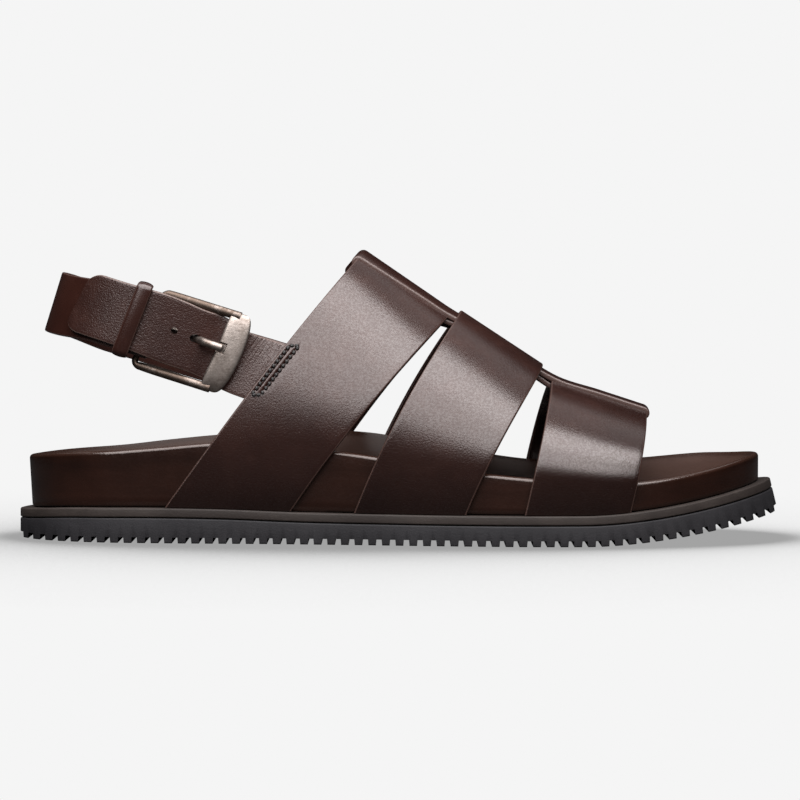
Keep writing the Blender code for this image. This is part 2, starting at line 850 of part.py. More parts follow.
def strap_face(strap, x, z, side):
    """How far across the inner face of a cross strap lies at x and z, also just behind the strap."""
    places = []
    shares = np.linspace(-0.6, 1.2, 19)
    for across in shares:
        foot, crest, height, medial, sag = strap_line(strap, across)
        foot += medial if side > 0 else 0
        foot_height = wall_at(foot, side)[1] + GAP
        share = (z - foot_height) / (height - foot_height)
        places.append(between(foot, crest, share - sag * share * (1 - share)))
    across = float(np.interp(x, places, shares))
    height = strap_line(strap, across)[2]
    wall, _, rim = wall_at(x, side)
    rise = min(max((z - rim) / (height - rim), 0), 1)
    reach = (1 - rise**ARCH_HEIGHT_POWER) ** (1 / ARCH_WIDTH_POWER)
    return between(ridge_at(x), wall, reach)


def tucked(u, out, up, side, thickness):
    """A point of a strap's inner face that goes from the heel's side in under the rear strap."""
    x, y, z = beside(u, out, up, side)
    inside = strap_face("rear_strap", x, z, side) - side * (GAP + thickness) * TUCK_EASE
    return x, between(y, inside, ease(TUCK_START, TUCK_END, u)), z


def arc_places(first, last):
    """Places along the strap between two angles round the heel, 0 at the back and 90 at the side."""
    count = max(1, round((last - first) / HEEL_ARC_STEP))
    angles = [math.radians(between(first, last, k / count)) for k in range(count + 1)]
    return [HEEL_DEPTH * (1 - math.cos(angle)) for angle in angles]


FOLD_IN = column(FOLD_ALONG, 1)


def fold_out(u):
    """How far out the folded end's near face lies."""
    return -FOLD_IN((PIVOT_PLACE - u) / HEEL_STRAP_FOLD) * (BUCKLE_GAUGE / 2 + PIVOT_ROOM)


def heel_strap_stations():
    """Place, distance out and side of each line across the heel strap, from its medial end."""
    straight = [between(STRAP_END, HEEL_DEPTH, k / SIDE_STEPS) for k in range(SIDE_STEPS)]
    stations = [(u, 0, 1) for u in straight + arc_places(0, 90)[::-1]]
    stations += [(u, 0, -1) for u in arc_places(0, 90)[1:]]
    turn = BUCKLE_GAUGE / 2 + PIVOT_ROOM
    for angle in range(90, -91, -30):
        cosine, sine = math.cos(math.radians(angle)), math.sin(math.radians(angle))
        stations.append((PIVOT_PLACE + turn * cosine, turn * (sine - 1), -1))
    for share in (0.12, 0.2, 0.3, 0.45, 0.7, 1):
        u = PIVOT_PLACE - share * HEEL_STRAP_FOLD
        stations.append((u, fold_out(u), -1))
    return stations


def strap_lift(u, side):
    """How far the heel strap stands over its slope: up at the lateral side, down at the medial one."""
    if side < 0:
        return HEEL_STRAP_RISE * ease(0, RISE_RUN, u)
    return -HEEL_STRAP_DROP * ease(0, HEEL_DEPTH, u)


def leaning(u, up):
    """How far forward the buckle leans at a height, less and less behind the pivot bar."""
    start = PIVOT_PLACE - 0.4 * HEEL_STRAP_FOLD
    return BUCKLE_LEAN * (up - HEEL_STRAP_RISE) * ease(start, PIVOT_PLACE, u)


def build_heel_strap(parts, helpers, material):
    """A band round the heel whose lateral end is folded round the buckle's pivot bar."""
    rows = []
    for u, out, side in heel_strap_stations():
        lift = strap_lift(u, side)
        row = []
        for across in np.linspace(-0.5, 0.5, BAND_STEPS_ACROSS + 1):
            up = lift + across * HEEL_STRAP_WIDTH
            if side > 0 and u > HEEL_DEPTH:
                row.append(tucked(u, out, up, side, HEEL_STRAP_THICKNESS))
            elif side > 0:
                row.append(beside(u, out, up, side))
            else:
                row.append(beside(u + leaning(u, up), out, up, side))
        rows.append(row)
    mesh = mesh_from_rings("heel_strap", rows, closed_rings=False)
    face_away_from(mesh, beside(HEEL_DEPTH, -HEEL_HALF_WIDTH, 0))
    strap = new_object("heel_strap", mesh, parts, material)
    add_wall(strap, HEEL_STRAP_THICKNESS)
    room = PRONG_GAUGE / 2 + GAP
    reach = BUCKLE_GAUGE / 2 + PRONG_GAUGE + 2 * GAP + SLOT_MARGIN
    low, high = PIVOT_PLACE - reach, PIVOT_PLACE + 2 * reach
    corners = [(low, -room), (high, -room), (high, room), (low, room)]
    outline = [(u, PRONG_OFFSET + up) for u, up in corners]
    slot = peg("prong_slot", outline, -4 * reach, 3 * reach, helpers)
    add_boolean(strap, slot, "DIFFERENCE")


def peg(name, outline, low, high, collection):
    """A cutter with its outline in u and up, between two distances out."""
    rings = [[beside(u, out, up) for u, up in outline] for out in (low, high)]
    mesh = mesh_from_rings(name, rings, filled_ends=True)
    return helper(new_object(name, mesh, collection))


def oval(u, up, half_long, half_wide, count=14):
    angles = [2 * math.pi * k / count for k in range(count)]
    return [(u + half_long * math.cos(a), up + half_wide * math.sin(a)) for a in angles]


TAB_OUT = column(TAB_ALONG, 1)
TAB_RISE = column(TAB_ALONG, 2)
TAB_SPAN = column(TAB_ALONG, 3)


def tab_out(u):
    return TAB_OUT(u / PIVOT_PLACE) * TAB_THICKNESS


def tab_rise(u):
    return TAB_RISE(u / PIVOT_PLACE) * TAB_WIDTH


def tab_half_width(u):
    """Half the tab's width, less at its rounded tip."""
    half = TAB_SPAN(u / PIVOT_PLACE) * TAB_WIDTH / 2
    into = TAB_CORNER - (u - TAB_TIP)
    if into <= 0:
        return half
    return half - TAB_CORNER + math.sqrt(TAB_CORNER**2 - into**2)


def tab_stations():
    corner = [TAB_TIP + TAB_CORNER * (1 - math.cos(math.radians(a))) for a in (0, 25, 50, 72, 90)]
    first = math.degrees(math.acos(1 - corner[-1] / HEEL_DEPTH))
    round_heel = arc_places(first, 90)[1:]
    count = round((STRAP_END - HEEL_DEPTH) / TAB_STEP)
    straight = [between(HEEL_DEPTH, STRAP_END, k / count) for k in range(1, count + 1)]
    return corner + round_heel + straight


def build_tab(parts, helpers, material):
    """The tab from under the rear strap: under the buckle's plate, over its pivot bar, to the heel."""
    rows = []
    for u in tab_stations():
        half = tab_half_width(u)
        row = []
        for across in np.linspace(-1, 1, BAND_STEPS_ACROSS + 1):
            lean = TAB_LEAN * across * half * (1 - ease(TAB_TIP, TAB_LEAN_END, u))
            up = tab_rise(u) + across * half
            row.append(tucked(u + lean, tab_out(u), up, -1, TAB_THICKNESS))
        rows.append(row)
    mesh = mesh_from_rings("buckle_tab", rows, closed_rings=False)
    face_away_from(mesh, beside(PIVOT_PLACE, -HEEL_HALF_WIDTH, 0))
    tab = new_object("buckle_tab", mesh, parts, material)
    add_wall(tab, TAB_THICKNESS)
    low, high = -3 * TAB_THICKNESS, 4 * TAB_THICKNESS
    start, end = prong_crossing()
    room = PRONG_GAUGE / 2 + GAP
    half_long = (end - start) / 2 + PRONG_GAUGE / 2 * math.sqrt(2) + GAP
    used = oval((start + end) / 2, PRONG_OFFSET, half_long, room)
    spare = TAB_HOLE / 2
    place = (start + end) / 2 - TAB_HOLE_PITCH
    holes = (("used_hole", used), ("spare_hole", oval(place, PRONG_OFFSET, spare, spare)))
    for name, outline in holes:
        add_boolean(tab, peg(name, outline, low, high, helpers), "DIFFERENCE")


# The buckle


def plate_place():
    return PIVOT_PLACE + BUCKLE_LENGTH - PLATE_WIDTH / 2 - BUCKLE_GAUGE / 2


def plate_out():
    """The plate's middle, clear of the tab that runs under it."""
    return tab_out(plate_place()) + TAB_THICKNESS + GAP + PLATE_THICKNESS / 2 + PLATE_BOW


def pivot_out():
    return -(BUCKLE_GAUGE / 2 + PIVOT_ROOM)


def arm_out(u):
    share = (u - PIVOT_PLACE) / (plate_place() - PIVOT_PLACE)
    return between(pivot_out(), plate_out() - PLATE_BOW, share)


def frame_path():
    """The wire of the frame, from the plate along one arm, round the pivot bar and back."""
    half = (BUCKLE_SPAN - BUCKLE_GAUGE) / 2
    front = plate_place()
    rear = PIVOT_PLACE
    corner = BUCKLE_CORNER
    side = [(front, half), (between(front, rear, 0.35), half), (between(front, rear, 0.7), half)]
    side.append((rear + corner, half))
    for angle in (30, 60, 90):
        sine, cosine = math.sin(math.radians(angle)), math.cos(math.radians(angle))
        side.append((rear + corner * (1 - sine), half - corner * (1 - cosine)))
    path = side + [(rear, 0)] + [(u, -up) for u, up in reversed(side)]
    return [beside(u + BUCKLE_LEAN * up, arm_out(u), BUCKLE_RISE + up) for u, up in path]


def build_plate(collection):
    """The wide front bar: a bowed plate with rounded corners."""
    rings = []
    shares = (-0.995, -0.96, -0.88, -0.6, -0.3, 0, 0.3, 0.6, 0.88, 0.96, 0.995)
    for share in shares:
        sweep = PLATE_SWEEP * (1 - share**2)
        wide = PLATE_WIDTH / 2 * (1 - abs(share) ** 6) ** 0.25 * (1 + PLATE_SPREAD * (1 - share**2))
        thick = PLATE_THICKNESS / 2 * (1 - abs(share) ** 12) ** 0.25
        ring = []
        for angle in range(0, 360, 30):
            cosine, sine = math.cos(math.radians(angle)), math.sin(math.radians(angle))
            up = share * BUCKLE_SPAN / 2
            u = plate_place() + sweep + wide * math.copysign(abs(cosine) ** 0.5, cosine)
            out = plate_out() - PLATE_BOW * share**2 + thick * math.copysign(abs(sine) ** 0.7, sine)
            ring.append(beside(u + BUCKLE_LEAN * up, out, BUCKLE_RISE + up))
        rings.append(ring)
    mesh = mesh_from_rings("plate", rings, filled_ends=True)
    return new_object("plate", mesh, collection)


def build_buckle(parts, helpers, material):
    frame = tube("buckle_frame", frame_path(), BUCKLE_GAUGE / 2, parts, material)
    add_boolean(frame, helper(build_plate(helpers)), "UNION")


def prong_crossing():
    """Where the prong's middle goes in and out of the tab."""
    middle = plate_place() - PRONG_REACH
    return middle - TAB_THICKNESS / 2, middle + TAB_THICKNESS / 2


def prong_up(u):
    """Where the prong lies across the strap: it swings down a little towards its tip."""
    _, end = prong_crossing()
    return PRONG_OFFSET - PRONG_DROP * ease(end, plate_place(), u)


def build_prong(parts, material):
    """A bar hooked round the pivot bar, up through the tab and onto the plate."""
    turn = BUCKLE_GAUGE / 2 + GAP + PRONG_GAUGE / 2
    path = []
    for angle in range(50, 271, 22):
        cosine, sine = math.cos(math.radians(angle)), math.sin(math.radians(angle))
        path.append((PIVOT_PLACE + turn * cosine, pivot_out() + turn * sine))
    start, end = prong_crossing()
    under = tab_out(start) - GAP - PRONG_GAUGE
    over = tab_out(end) + TAB_THICKNESS + PRONG_GAUGE * 0.9
    top = plate_out() + PLATE_THICKNESS / 2 + GAP + PRONG_GAUGE / 2
    ends = [
        (PIVOT_PLACE + turn, pivot_out() - turn),
        (between(PIVOT_PLACE, start, 0.6), between(pivot_out() - turn, under, 0.6)),
        (start - PRONG_GAUGE, under),
        (start, tab_out(start) - GAP),
        (end, tab_out(start) - GAP + end - start),
        (end + PRONG_GAUGE * 0.9, over),
        (between(end, plate_place(), 0.7), top),
        (plate_place() - PLATE_WIDTH * 0.13, top),
    ]
    points = [beside(u, out, prong_up(u)) for u, out in smooth_path(path + ends, 2)]
    tube("buckle_prong", points, PRONG_GAUGE / 2, parts, material)


def keeper_ring(u):
    """A rounded rectangle round the heel strap, its folded end and the tab, as out and up."""
    low_out = fold_out(u) - HEEL_STRAP_THICKNESS - KEEPER_ROOM
    high_out = tab_out(u) + TAB_THICKNESS + KEEPER_ROOM
    low_up = HEEL_STRAP_RISE - HEEL_STRAP_WIDTH / 2 - KEEPER_ROOM
    high_up = tab_rise(u) + TAB_WIDTH / 2 + KEEPER_ROOM
    corners = (
        (high_out - KEEPER_CORNER, high_up - KEEPER_CORNER),
        (low_out + KEEPER_CORNER, high_up - KEEPER_CORNER),
        (low_out + KEEPER_CORNER, low_up + KEEPER_CORNER),
        (high_out - KEEPER_CORNER, low_up + KEEPER_CORNER),
    )
    ring = []
    for number, (out, up) in enumerate(corners):
        for turn in (0, 45, 90):
            angle = math.radians(90 * number + turn)
            ring.append((out + KEEPER_CORNER * math.cos(angle), up + KEEPER_CORNER * math.sin(angle)))
    return ring


def build_keeper(parts, material):
    """A loop round the heel strap, its folded end and the tab."""
    rings = []
    for end in (-0.5, 0, 0.5):
        u = KEEPER_PLACE + end * KEEPER_WIDTH
        ring = []
        for out, up in keeper_ring(u):
            back = KEEPER_SKEW * ease(TAB_THICKNESS, -TAB_THICKNESS, out)
            lean = KEEPER_LEAN * (up - tab_rise(u))
            ring.append(beside(u + lean - back, out, up))
        rings.append(ring)
    mesh = mesh_from_rings("keeper", rings)
    face_away_from(mesh, beside(KEEPER_PLACE, tab_out(KEEPER_PLACE), tab_rise(KEEPER_PLACE)))
    keeper = new_object("keeper", mesh, parts, material)
    add_wall(keeper, KEEPER_THICKNESS)


def main():
    clear_scene()
    parts = new_collection("fisherman_sandal")
    grooves = new_collection("grooves")
    helpers = new_collection("cutters")
    leather = {
        name: new_material(name, LEATHER_BROWN, 0.38)
        for name in ("upper_leather", "heel_strap_leather", "tab_leather", "keeper_leather")
    }
    build_outsole(parts, grooves, new_material("outsole_rubber", RUBBER_CHARCOAL, 0.75))
    midsole = new_material("midsole_rubber", MIDSOLE_GREY, 0.7)
    sole_layer("midsole", midsole_bottom, sole_top, parts, midsole)
    build_footbed(parts, new_material("footbed_leather", FOOTBED_BROWN, 0.42))
    build_upper(parts, helpers, leather["upper_leather"])
    build_heel_strap(parts, helpers, leather["heel_strap_leather"])
    build_tab(parts, helpers, leather["tab_leather"])
    build_keeper(parts, leather["keeper_leather"])
    build_buckle(parts, helpers, new_material("frame_nickel", ANTIQUE_NICKEL, 0.4, 0.9))
    build_prong(parts, new_material("prong_nickel", ANTIQUE_NICKEL, 0.4, 0.9))


main()
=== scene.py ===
"""Dressed model of a fisherman sandal for the right foot, in a plain studio.

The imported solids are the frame. Each sub-assembly is a class that shapes its pieces over the solid
it stands for and gives them a finish. Metres, toe along +X, lateral side along -Y, floor at Z = 0.
"""

import logging
import math
from collections.abc import Callable, Sequence
from dataclasses import dataclass, field
from enum import Enum

import bpy
import numpy as np
from mathutils import Matrix, Vector

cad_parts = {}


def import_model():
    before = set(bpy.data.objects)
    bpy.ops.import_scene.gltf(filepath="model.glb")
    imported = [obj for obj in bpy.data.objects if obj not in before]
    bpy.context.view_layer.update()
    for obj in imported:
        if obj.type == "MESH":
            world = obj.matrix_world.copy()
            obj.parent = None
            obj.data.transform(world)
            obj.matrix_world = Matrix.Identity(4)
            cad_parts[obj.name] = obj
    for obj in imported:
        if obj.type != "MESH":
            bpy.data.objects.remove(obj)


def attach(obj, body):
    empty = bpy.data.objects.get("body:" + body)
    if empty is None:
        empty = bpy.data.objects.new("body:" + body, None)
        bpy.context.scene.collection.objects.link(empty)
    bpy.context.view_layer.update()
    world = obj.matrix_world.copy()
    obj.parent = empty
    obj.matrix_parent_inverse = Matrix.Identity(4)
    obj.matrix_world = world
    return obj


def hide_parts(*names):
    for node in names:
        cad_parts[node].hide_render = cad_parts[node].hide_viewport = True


MM = 0.001
LOG = logging.getLogger("sandal")


# Plain curves and steps


def smooth_curve(places: Sequence[float], values: Sequence[float]) -> Callable[[float], float]:
    """Makes a function that runs smoothly through values at places.

    Args:
        places: rising places.
        values: the value at each place.

    Returns:
        A function of one place, held at its end values outside them.
    """
    at = np.asarray(places, float)
    level = np.asarray(values, float)
    slopes = np.gradient(level, at)

    def read(place: float) -> float:
        """Reads the curve at one place."""
        place = min(max(place, at[0]), at[-1])
        i = int(min(max(np.searchsorted(at, place) - 1, 0), len(at) - 2))
        span = at[i + 1] - at[i]
        t = (place - at[i]) / span
        start = (1 + 2 * t) * (1 - t) ** 2 * level[i] + t * (1 - t) ** 2 * span * slopes[i]
        end = t * t * (3 - 2 * t) * level[i + 1] - t * t * (1 - t) * span * slopes[i + 1]
        return float(start + end)

    return read


def column(table: Sequence[Sequence[float]], number: int) -> Callable[[float], float]:
    """One column of a table, as a smooth function of its first column."""
    rows = np.array(table)
    return smooth_curve(rows[:, 0], rows[:, number])


def between(start: float, end: float, share: float) -> float:
    """The value at a share of the way from start to end."""
    return start + (end - start) * share


def ease(start: float, end: float, value: float) -> float:
    """0 before start, 1 after end, and a soft step between."""
    t = min(max((value - start) / (end - start), 0.0), 1.0)
    return t * t * (3 - 2 * t)


def bump(value: np.ndarray | float, middle: float, width: float) -> np.ndarray | float:
    """A soft hill of height 1 at middle, about width wide."""
    return np.exp(-(((value - middle) / (0.5 * width)) ** 2))


def spin(degrees: float) -> tuple[float, float]:
    """Cosine and sine of an angle in degrees."""
    return math.cos(math.radians(degrees)), math.sin(math.radians(degrees))


# Shader graphs


Colour = tuple[float, float, float]


class Wire:
    """An output socket whose arithmetic adds Math nodes."""

    def __init__(self, graph: "Graph", socket: bpy.types.NodeSocket) -> None:
        """Keeps the graph and the socket."""
        self.graph = graph
        self.socket = socket

    def _math(self, operation: str, *operands: "Wire | float") -> "Wire":
        """Adds a Math node on these operands."""
        sockets = dict(enumerate(operands))
        return self.graph.add("ShaderNodeMath", {"operation": operation}, sockets)

    def __add__(self, other: "Wire | float") -> "Wire":
        """Adds."""
        return self._math("ADD", self, other)

    def __radd__(self, other: "Wire | float") -> "Wire":
        """Adds, reflected."""
        return self._math("ADD", other, self)

    def __sub__(self, other: "Wire | float") -> "Wire":
        """Subtracts."""
        return self._math("SUBTRACT", self, other)

    def __rsub__(self, other: "Wire | float") -> "Wire":
        """Subtracts, reflected."""
        return self._math("SUBTRACT", other, self)

    def __mul__(self, other: "Wire | float") -> "Wire":
        """Multiplies."""
        return self._math("MULTIPLY", self, other)

    def clamped(self) -> "Wire":
        """The value held between 0 and 1."""
        return self._math("MAXIMUM", self._math("MINIMUM", self, 1.0), 0.0)

    def over(self, low: float, high: float) -> "Wire":
        """0 below low, 1 above high and a straight ramp between."""
        return ((self - low) * (1 / (high - low))).clamped()


class Graph:
    """A material and the nodes that feed its shader."""

    def __init__(self, name: str) -> None:
        """Makes a material with a bare shader.

        Args:
            name: the material's name.
        """
        self.material = bpy.data.materials.new(name)
        self.material.use_nodes = True
        self.tree = self.material.node_tree
        self.shader = next(n for n in self.tree.nodes if n.type == "BSDF_PRINCIPLED")

    def add(
        self,
        kind: str,
        settings: dict[str, object] | None = None,
        sockets: dict[str | int, object] | None = None,
        output: str | int = 0,
    ) -> Wire:
        """Adds any node.

        Args:
            kind: the node's type.
            settings: its settings, such as operation.
            sockets: values or wires by input name or number.
            output: the output that is read.

        Returns:
            The chosen output.
        """
        node = self.tree.nodes.new(kind)
        for key, value in (settings or {}).items():
            setattr(node, key, value)
        for key, value in (sockets or {}).items():
            self.feed(node.inputs[key], value)
        return Wire(self, node.outputs[output])

    def feed(self, target: bpy.types.NodeSocket, value: object) -> None:
        """Links a wire to an input, or sets its value."""
        if isinstance(value, Wire):
            self.tree.links.new(value.socket, target)
        else:
            target.default_value = value

    def set(self, **values: object) -> None:
        """Feeds the shader: Base_Color=..., Roughness=... and so on."""
        for key, value in values.items():
            self.feed(self.shader.inputs[key.replace("_", " ")], value)

    def place(self) -> Wire:
        """Object coordinates."""
        return self.add("ShaderNodeTexCoord", output="Object")

    def along(self) -> Wire:
        """The piece's own map, in metres along and across it."""
        return self.add("ShaderNodeUVMap", {"uv_map": "UVMap"})

    def height(self, vector: Wire) -> Wire:
        """The Z part of coordinates."""
        return self.add("ShaderNodeSeparateXYZ", sockets={0: vector}, output="Z")

    def stretched(self, vector: Wire, scale: tuple[float, float, float]) -> Wire:
        """Coordinates scaled on each axis."""
        return self.add("ShaderNodeMapping", sockets={"Vector": vector, "Scale": scale})

    def turned(self, vector: Wire, scale: tuple[float, float, float], angle: float) -> Wire:
        """Coordinates turned about Z, then scaled."""
        sockets = {"Vector": vector, "Angle": angle}
        return self.stretched(self.add("ShaderNodeVectorRotate", sockets=sockets, output="Vector"), scale)

    def noise(self, vector: Wire, scale: float, detail: float = 2.0, rough: float = 0.5) -> Wire:
        """Noise from 0 to 1."""
        sockets = {"Vector": vector, "Scale": scale, "Detail": detail, "Roughness": rough}
        return self.add("ShaderNodeTexNoise", sockets=sockets, output="Fac")

    def cells(self, vector: Wire, scale: float, feature: str = "F1") -> Wire:
        """Distance inside a cell pattern."""
        settings = {"feature": feature}
        return self.add("ShaderNodeTexVoronoi", settings, {"Vector": vector, "Scale": scale}, "Distance")

    def mark(self, name: str) -> Wire:
        """A number kept on the mesh's points."""
        return self.add("ShaderNodeAttribute", {"attribute_name": name}, output="Fac")

    def mix(self, share: Wire | float, first: object, second: object) -> Wire:
        """A colour between two."""
        node = self.tree.nodes.new("ShaderNodeMix")
        node.data_type = "RGBA"
        for number, value in ((0, share), (6, first), (7, second)):
            if isinstance(value, tuple):
                value = (*value[:3], 1.0)
            self.feed(node.inputs[number], value)
        return Wire(self, node.outputs[2])

    def relief(self, height: Wire, distance: float, strength: float = 1.0, under: Wire | None = None) -> Wire:
        """A Bump node's normal for a height field.

        Args:
            height: the height, about 0 to 1.
            distance: how deep 1 is, in metres.
            strength: share of the effect.
            under: a coarser relief below this one.

        Returns:
            The bent normal.
        """
        sockets: dict[str | int, object] = {"Height": height, "Distance": distance, "Strength": strength}
        if under is not None:
            sockets["Normal"] = under
        return self.add("ShaderNodeBump", sockets=sockets, output="Normal")


@dataclass(frozen=True)
class LeatherFinish:
    """Smooth brown leather: fine grain, soft clouds, creases, worn edges, and painted shade that darkens it
    towards the bottom.
    """

    name: str
    deep: Colour = (0.0135, 0.0040, 0.0028)
    body: Colour = (0.0240, 0.0078, 0.0054)
    worn: Colour = (0.0420, 0.0180, 0.0135)
    edge: Colour = (0.0600, 0.0330, 0.0270)
    gloss: Colour = (1.0, 0.90, 0.88)
    roughness: float = 0.27
    coat: float = 0.3
    grain: float = 1900.0
    grain_depth: float = 0.00008
    foot_gloss: float = 0.09
    slant: float = 0.35
    # Painted shade: the colour darkens between these heights towards the bottom, where the lower straps face
    # away from the lights.
    painted_shade_low: float = 14 * MM
    painted_shade_high: float = 58 * MM
    painted_shade: float = 0.85
    painted_shade_tone: Colour = (0.0020, 0.0008, 0.0006)
    cloud_scale: float = 26.0
    blotch_scale: float = 130.0
    speck_scale: float = 1300.0
    wrinkle_scale: tuple[float, float, float] = (950.0, 90.0, 1.0)
    wrinkle_depth: float = 0.0007

    def make(self) -> bpy.types.Material:
        """Builds the material."""
        graph = Graph(self.name)
        place = graph.place()
        clouds = graph.noise(place, self.cloud_scale, 3)
        blotches = graph.noise(place, self.blotch_scale, 3, 0.6)
        pebbles = graph.cells(place, self.grain)
        specks = graph.noise(place, self.speck_scale, 2, 0.6)
        lines = graph.noise(graph.turned(graph.along(), self.wrinkle_scale, self.slant), 1.0, 3, 0.6)
        edge = graph.mark("edge")
        crease = graph.mark("crease")
        tone = graph.mix((clouds * 0.7 + blotches * 0.3).over(0.36, 0.66), self.deep, self.body)
        worn = (crease * 0.1 + blotches.over(0.56, 0.78) * 0.22).clamped()
        tone = graph.mix(worn, tone, self.worn)
        # Painted shade towards the bottom; the same mask also makes the bottom glossier.
        foot = 1.0 - graph.height(place).over(self.painted_shade_low, self.painted_shade_high)
        tone = graph.mix(foot * self.painted_shade, tone, self.painted_shade_tone)
        tone = graph.mix((edge * (0.4 + blotches * 0.6)).clamped() * 0.8, tone, self.edge)
        wrinkles = graph.relief(lines * crease, self.wrinkle_depth, 0.9)
        normal = graph.relief(pebbles * 0.5 + specks * 0.7, self.grain_depth, 0.75, wrinkles)
        rough = self.roughness - 0.03 + clouds * 0.06 + pebbles * 0.05 + edge * 0.1 - foot * self.foot_gloss
        graph.set(Base_Color=tone, Roughness=rough, Normal=normal)
        graph.set(Coat_Weight=specks.over(0.42, 0.6) * self.coat, Coat_Roughness=0.2, Coat_IOR=1.5)
        graph.set(Specular_Tint=(*self.gloss, 1.0))
        return graph.material


@dataclass(frozen=True)
class LiningFinish:
    """The footbed's cover: polished on the wall, drier and creased where the foot lies, and lighter on the
    seat and the rim's top from wear and painted light.
    """

    name: str
    deep: Colour = (0.0070, 0.0023, 0.0014)
    body: Colour = (0.0135, 0.0046, 0.0028)
    # Worn leather's tone, made light enough to also stand in for the light on the seat: partly painted light.
    wear_and_painted_light: Colour = (0.0560, 0.0270, 0.0190)
    cloud_scale: float = 34.0
    streak_scale: tuple[float, float, float] = (18.0, 18.0, 150.0)
    pebble_scale: float = 820.0
    fine_scale: float = 2300.0

    def make(self) -> bpy.types.Material:
        """Builds the material."""
        graph = Graph(self.name)
        place = graph.place()
        clouds = graph.noise(place, self.cloud_scale, 4, 0.6)
        streaks = graph.noise(graph.stretched(place, self.streak_scale), 1.0, 3)
        pebbles = graph.cells(place, self.pebble_scale)
        fine = graph.noise(place, self.fine_scale, 2)
        seat = graph.mark("seat")
        rim = graph.mark("rim")
        tone = graph.mix((clouds * 0.6 + streaks * 0.4).over(0.38, 0.64), self.deep, self.body)
        # Lighter seat and rim top: partly wear, partly painted light on the upward faces.
        tone = graph.mix((rim * 0.3 + seat * 0.25 + seat * clouds * 0.3).clamped(), tone, self.wear_and_painted_light)
        normal = graph.relief(pebbles * 0.7 + fine * 0.4, 0.00009, 0.5, graph.relief(streaks, 0.00015, 0.3))
        rough = 0.18 + clouds * 0.06 + seat * 0.18 + pebbles * 0.04
        graph.set(Base_Color=tone, Roughness=rough, Normal=normal)
        graph.set(Coat_Weight=0.08, Coat_Roughness=0.24, Specular_Tint=(1.0, 0.88, 0.84, 1.0))
        return graph.material


@dataclass(frozen=True)
class RubberFinish:
    """Matt moulded rubber with a fine skin, dusty where it rubs."""

    name: str
    body: Colour
    dust: Colour
    roughness: float = 0.55
    skin: float = 1500.0
    cloud_scale: float = 40.0
    scuff_scale: tuple[float, float, float] = (60.0, 60.0, 320.0)

    def make(self) -> bpy.types.Material:
        """Builds the material."""
        graph = Graph(self.name)
        place = graph.place()
        clouds = graph.noise(place, self.cloud_scale, 4, 0.6)
        specks = graph.noise(place, self.skin, 3, 0.7)
        scuffs = graph.noise(graph.stretched(place, self.scuff_scale), 1.0, 4, 0.65)
        share = (clouds.over(0.4, 0.7) * 0.35 + scuffs.over(0.55, 0.8) * 0.4 + specks * 0.15).clamped()
        tone = graph.mix(share, self.body, self.dust)
        normal = graph.relief(specks, 0.00016, 0.6, graph.relief(scuffs, 0.00018, 0.4))
        graph.set(Base_Color=tone, Roughness=self.roughness + specks * 0.16, Normal=normal)
        graph.set(Specular_IOR_Level=0.2)
        return graph.material


@dataclass(frozen=True)
class NickelFinish:
    """Antique nickel: bright where the rub mark is high, brown patina in its hollows, and dark where the mark
    is low, on the frame's wire, as painted shade.
    """

    name: str
    bright: Colour = (0.34, 0.292, 0.266)
    # Brown patina, also used as painted shade on the frame's wire.
    patina_and_painted_shade_tone: Colour = (0.085, 0.062, 0.050)
    roughness: float = 0.34
    cloud_scale: float = 150.0
    pit_scale: float = 1300.0
    brush_scale: tuple[float, float, float] = (260.0, 260.0, 2200.0)

    def make(self) -> bpy.types.Material:
        """Builds the material."""
        graph = Graph(self.name)
        place = graph.place()
        clouds = graph.noise(place, self.cloud_scale, 4, 0.6)
        pits = graph.noise(place, self.pit_scale, 3, 0.7)
        brush = graph.noise(graph.stretched(place, self.brush_scale), 1.0, 2)
        # Patina in the hollows, plus painted shade where the rub mark is low.
        patina_and_painted_shade_share = (clouds * 0.7 + pits * 0.3).over(0.40, 0.66) * 0.85 + (1.0 - graph.mark("rub")) * 0.75
        tone = graph.mix(patina_and_painted_shade_share.clamped(), self.bright, self.patina_and_painted_shade_tone)
        normal = graph.relief(pits * 0.7 + brush * 0.3, 0.00009, 0.6, graph.relief(clouds, 0.0002, 0.35))
        rough = self.roughness + clouds * 0.14 + pits * 0.08
        graph.set(Base_Color=tone, Roughness=rough, Normal=normal, Metallic=1.0)
        return graph.material


@dataclass(frozen=True)
class ThreadFinish:
    """Waxed black thread, twisted."""

    name: str
    body: Colour = (0.006, 0.005, 0.005)
    light: Colour = (0.016, 0.013, 0.012)
    twist_scale: float = 900.0

    def make(self) -> bpy.types.Material:
        """Builds the material."""
        graph = Graph(self.name)
        sockets = {"Vector": graph.place(), "Scale": self.twist_scale}
        twist = graph.add("ShaderNodeTexWave", {"bands_direction": "DIAGONAL"}, sockets, "Fac")
        tone = graph.mix(twist, self.body, self.light)
        graph.set(Base_Color=tone, Roughness=0.5 + twist * 0.1, Normal=graph.relief(twist, 0.00008, 0.6))
        return graph.material


class Slot(Enum):
    """The record's material slots."""

    OUTSOLE = "outsole_rubber"
    MIDSOLE = "midsole_rubber"
    FOOTBED = "footbed_leather"
    UPPER = "upper_leather"
    HEEL_STRAP = "heel_strap_leather"
    TAB = "tab_leather"
    KEEPER = "keeper_leather"
    FRAME = "frame_nickel"
    PRONG = "prong_nickel"


# Modelling by hand


def nothing_selected() -> None:
    """Leaves edit mode's and object mode's selections empty."""
    if bpy.context.mode != "OBJECT":
        bpy.ops.object.mode_set(mode="OBJECT")
    bpy.ops.object.select_all(action="DESELECT")


def alone(piece: bpy.types.Object) -> None:
    """Selects one piece only and makes it the active one."""
    nothing_selected()
    piece.select_set(True)
    bpy.context.view_layer.objects.active = piece


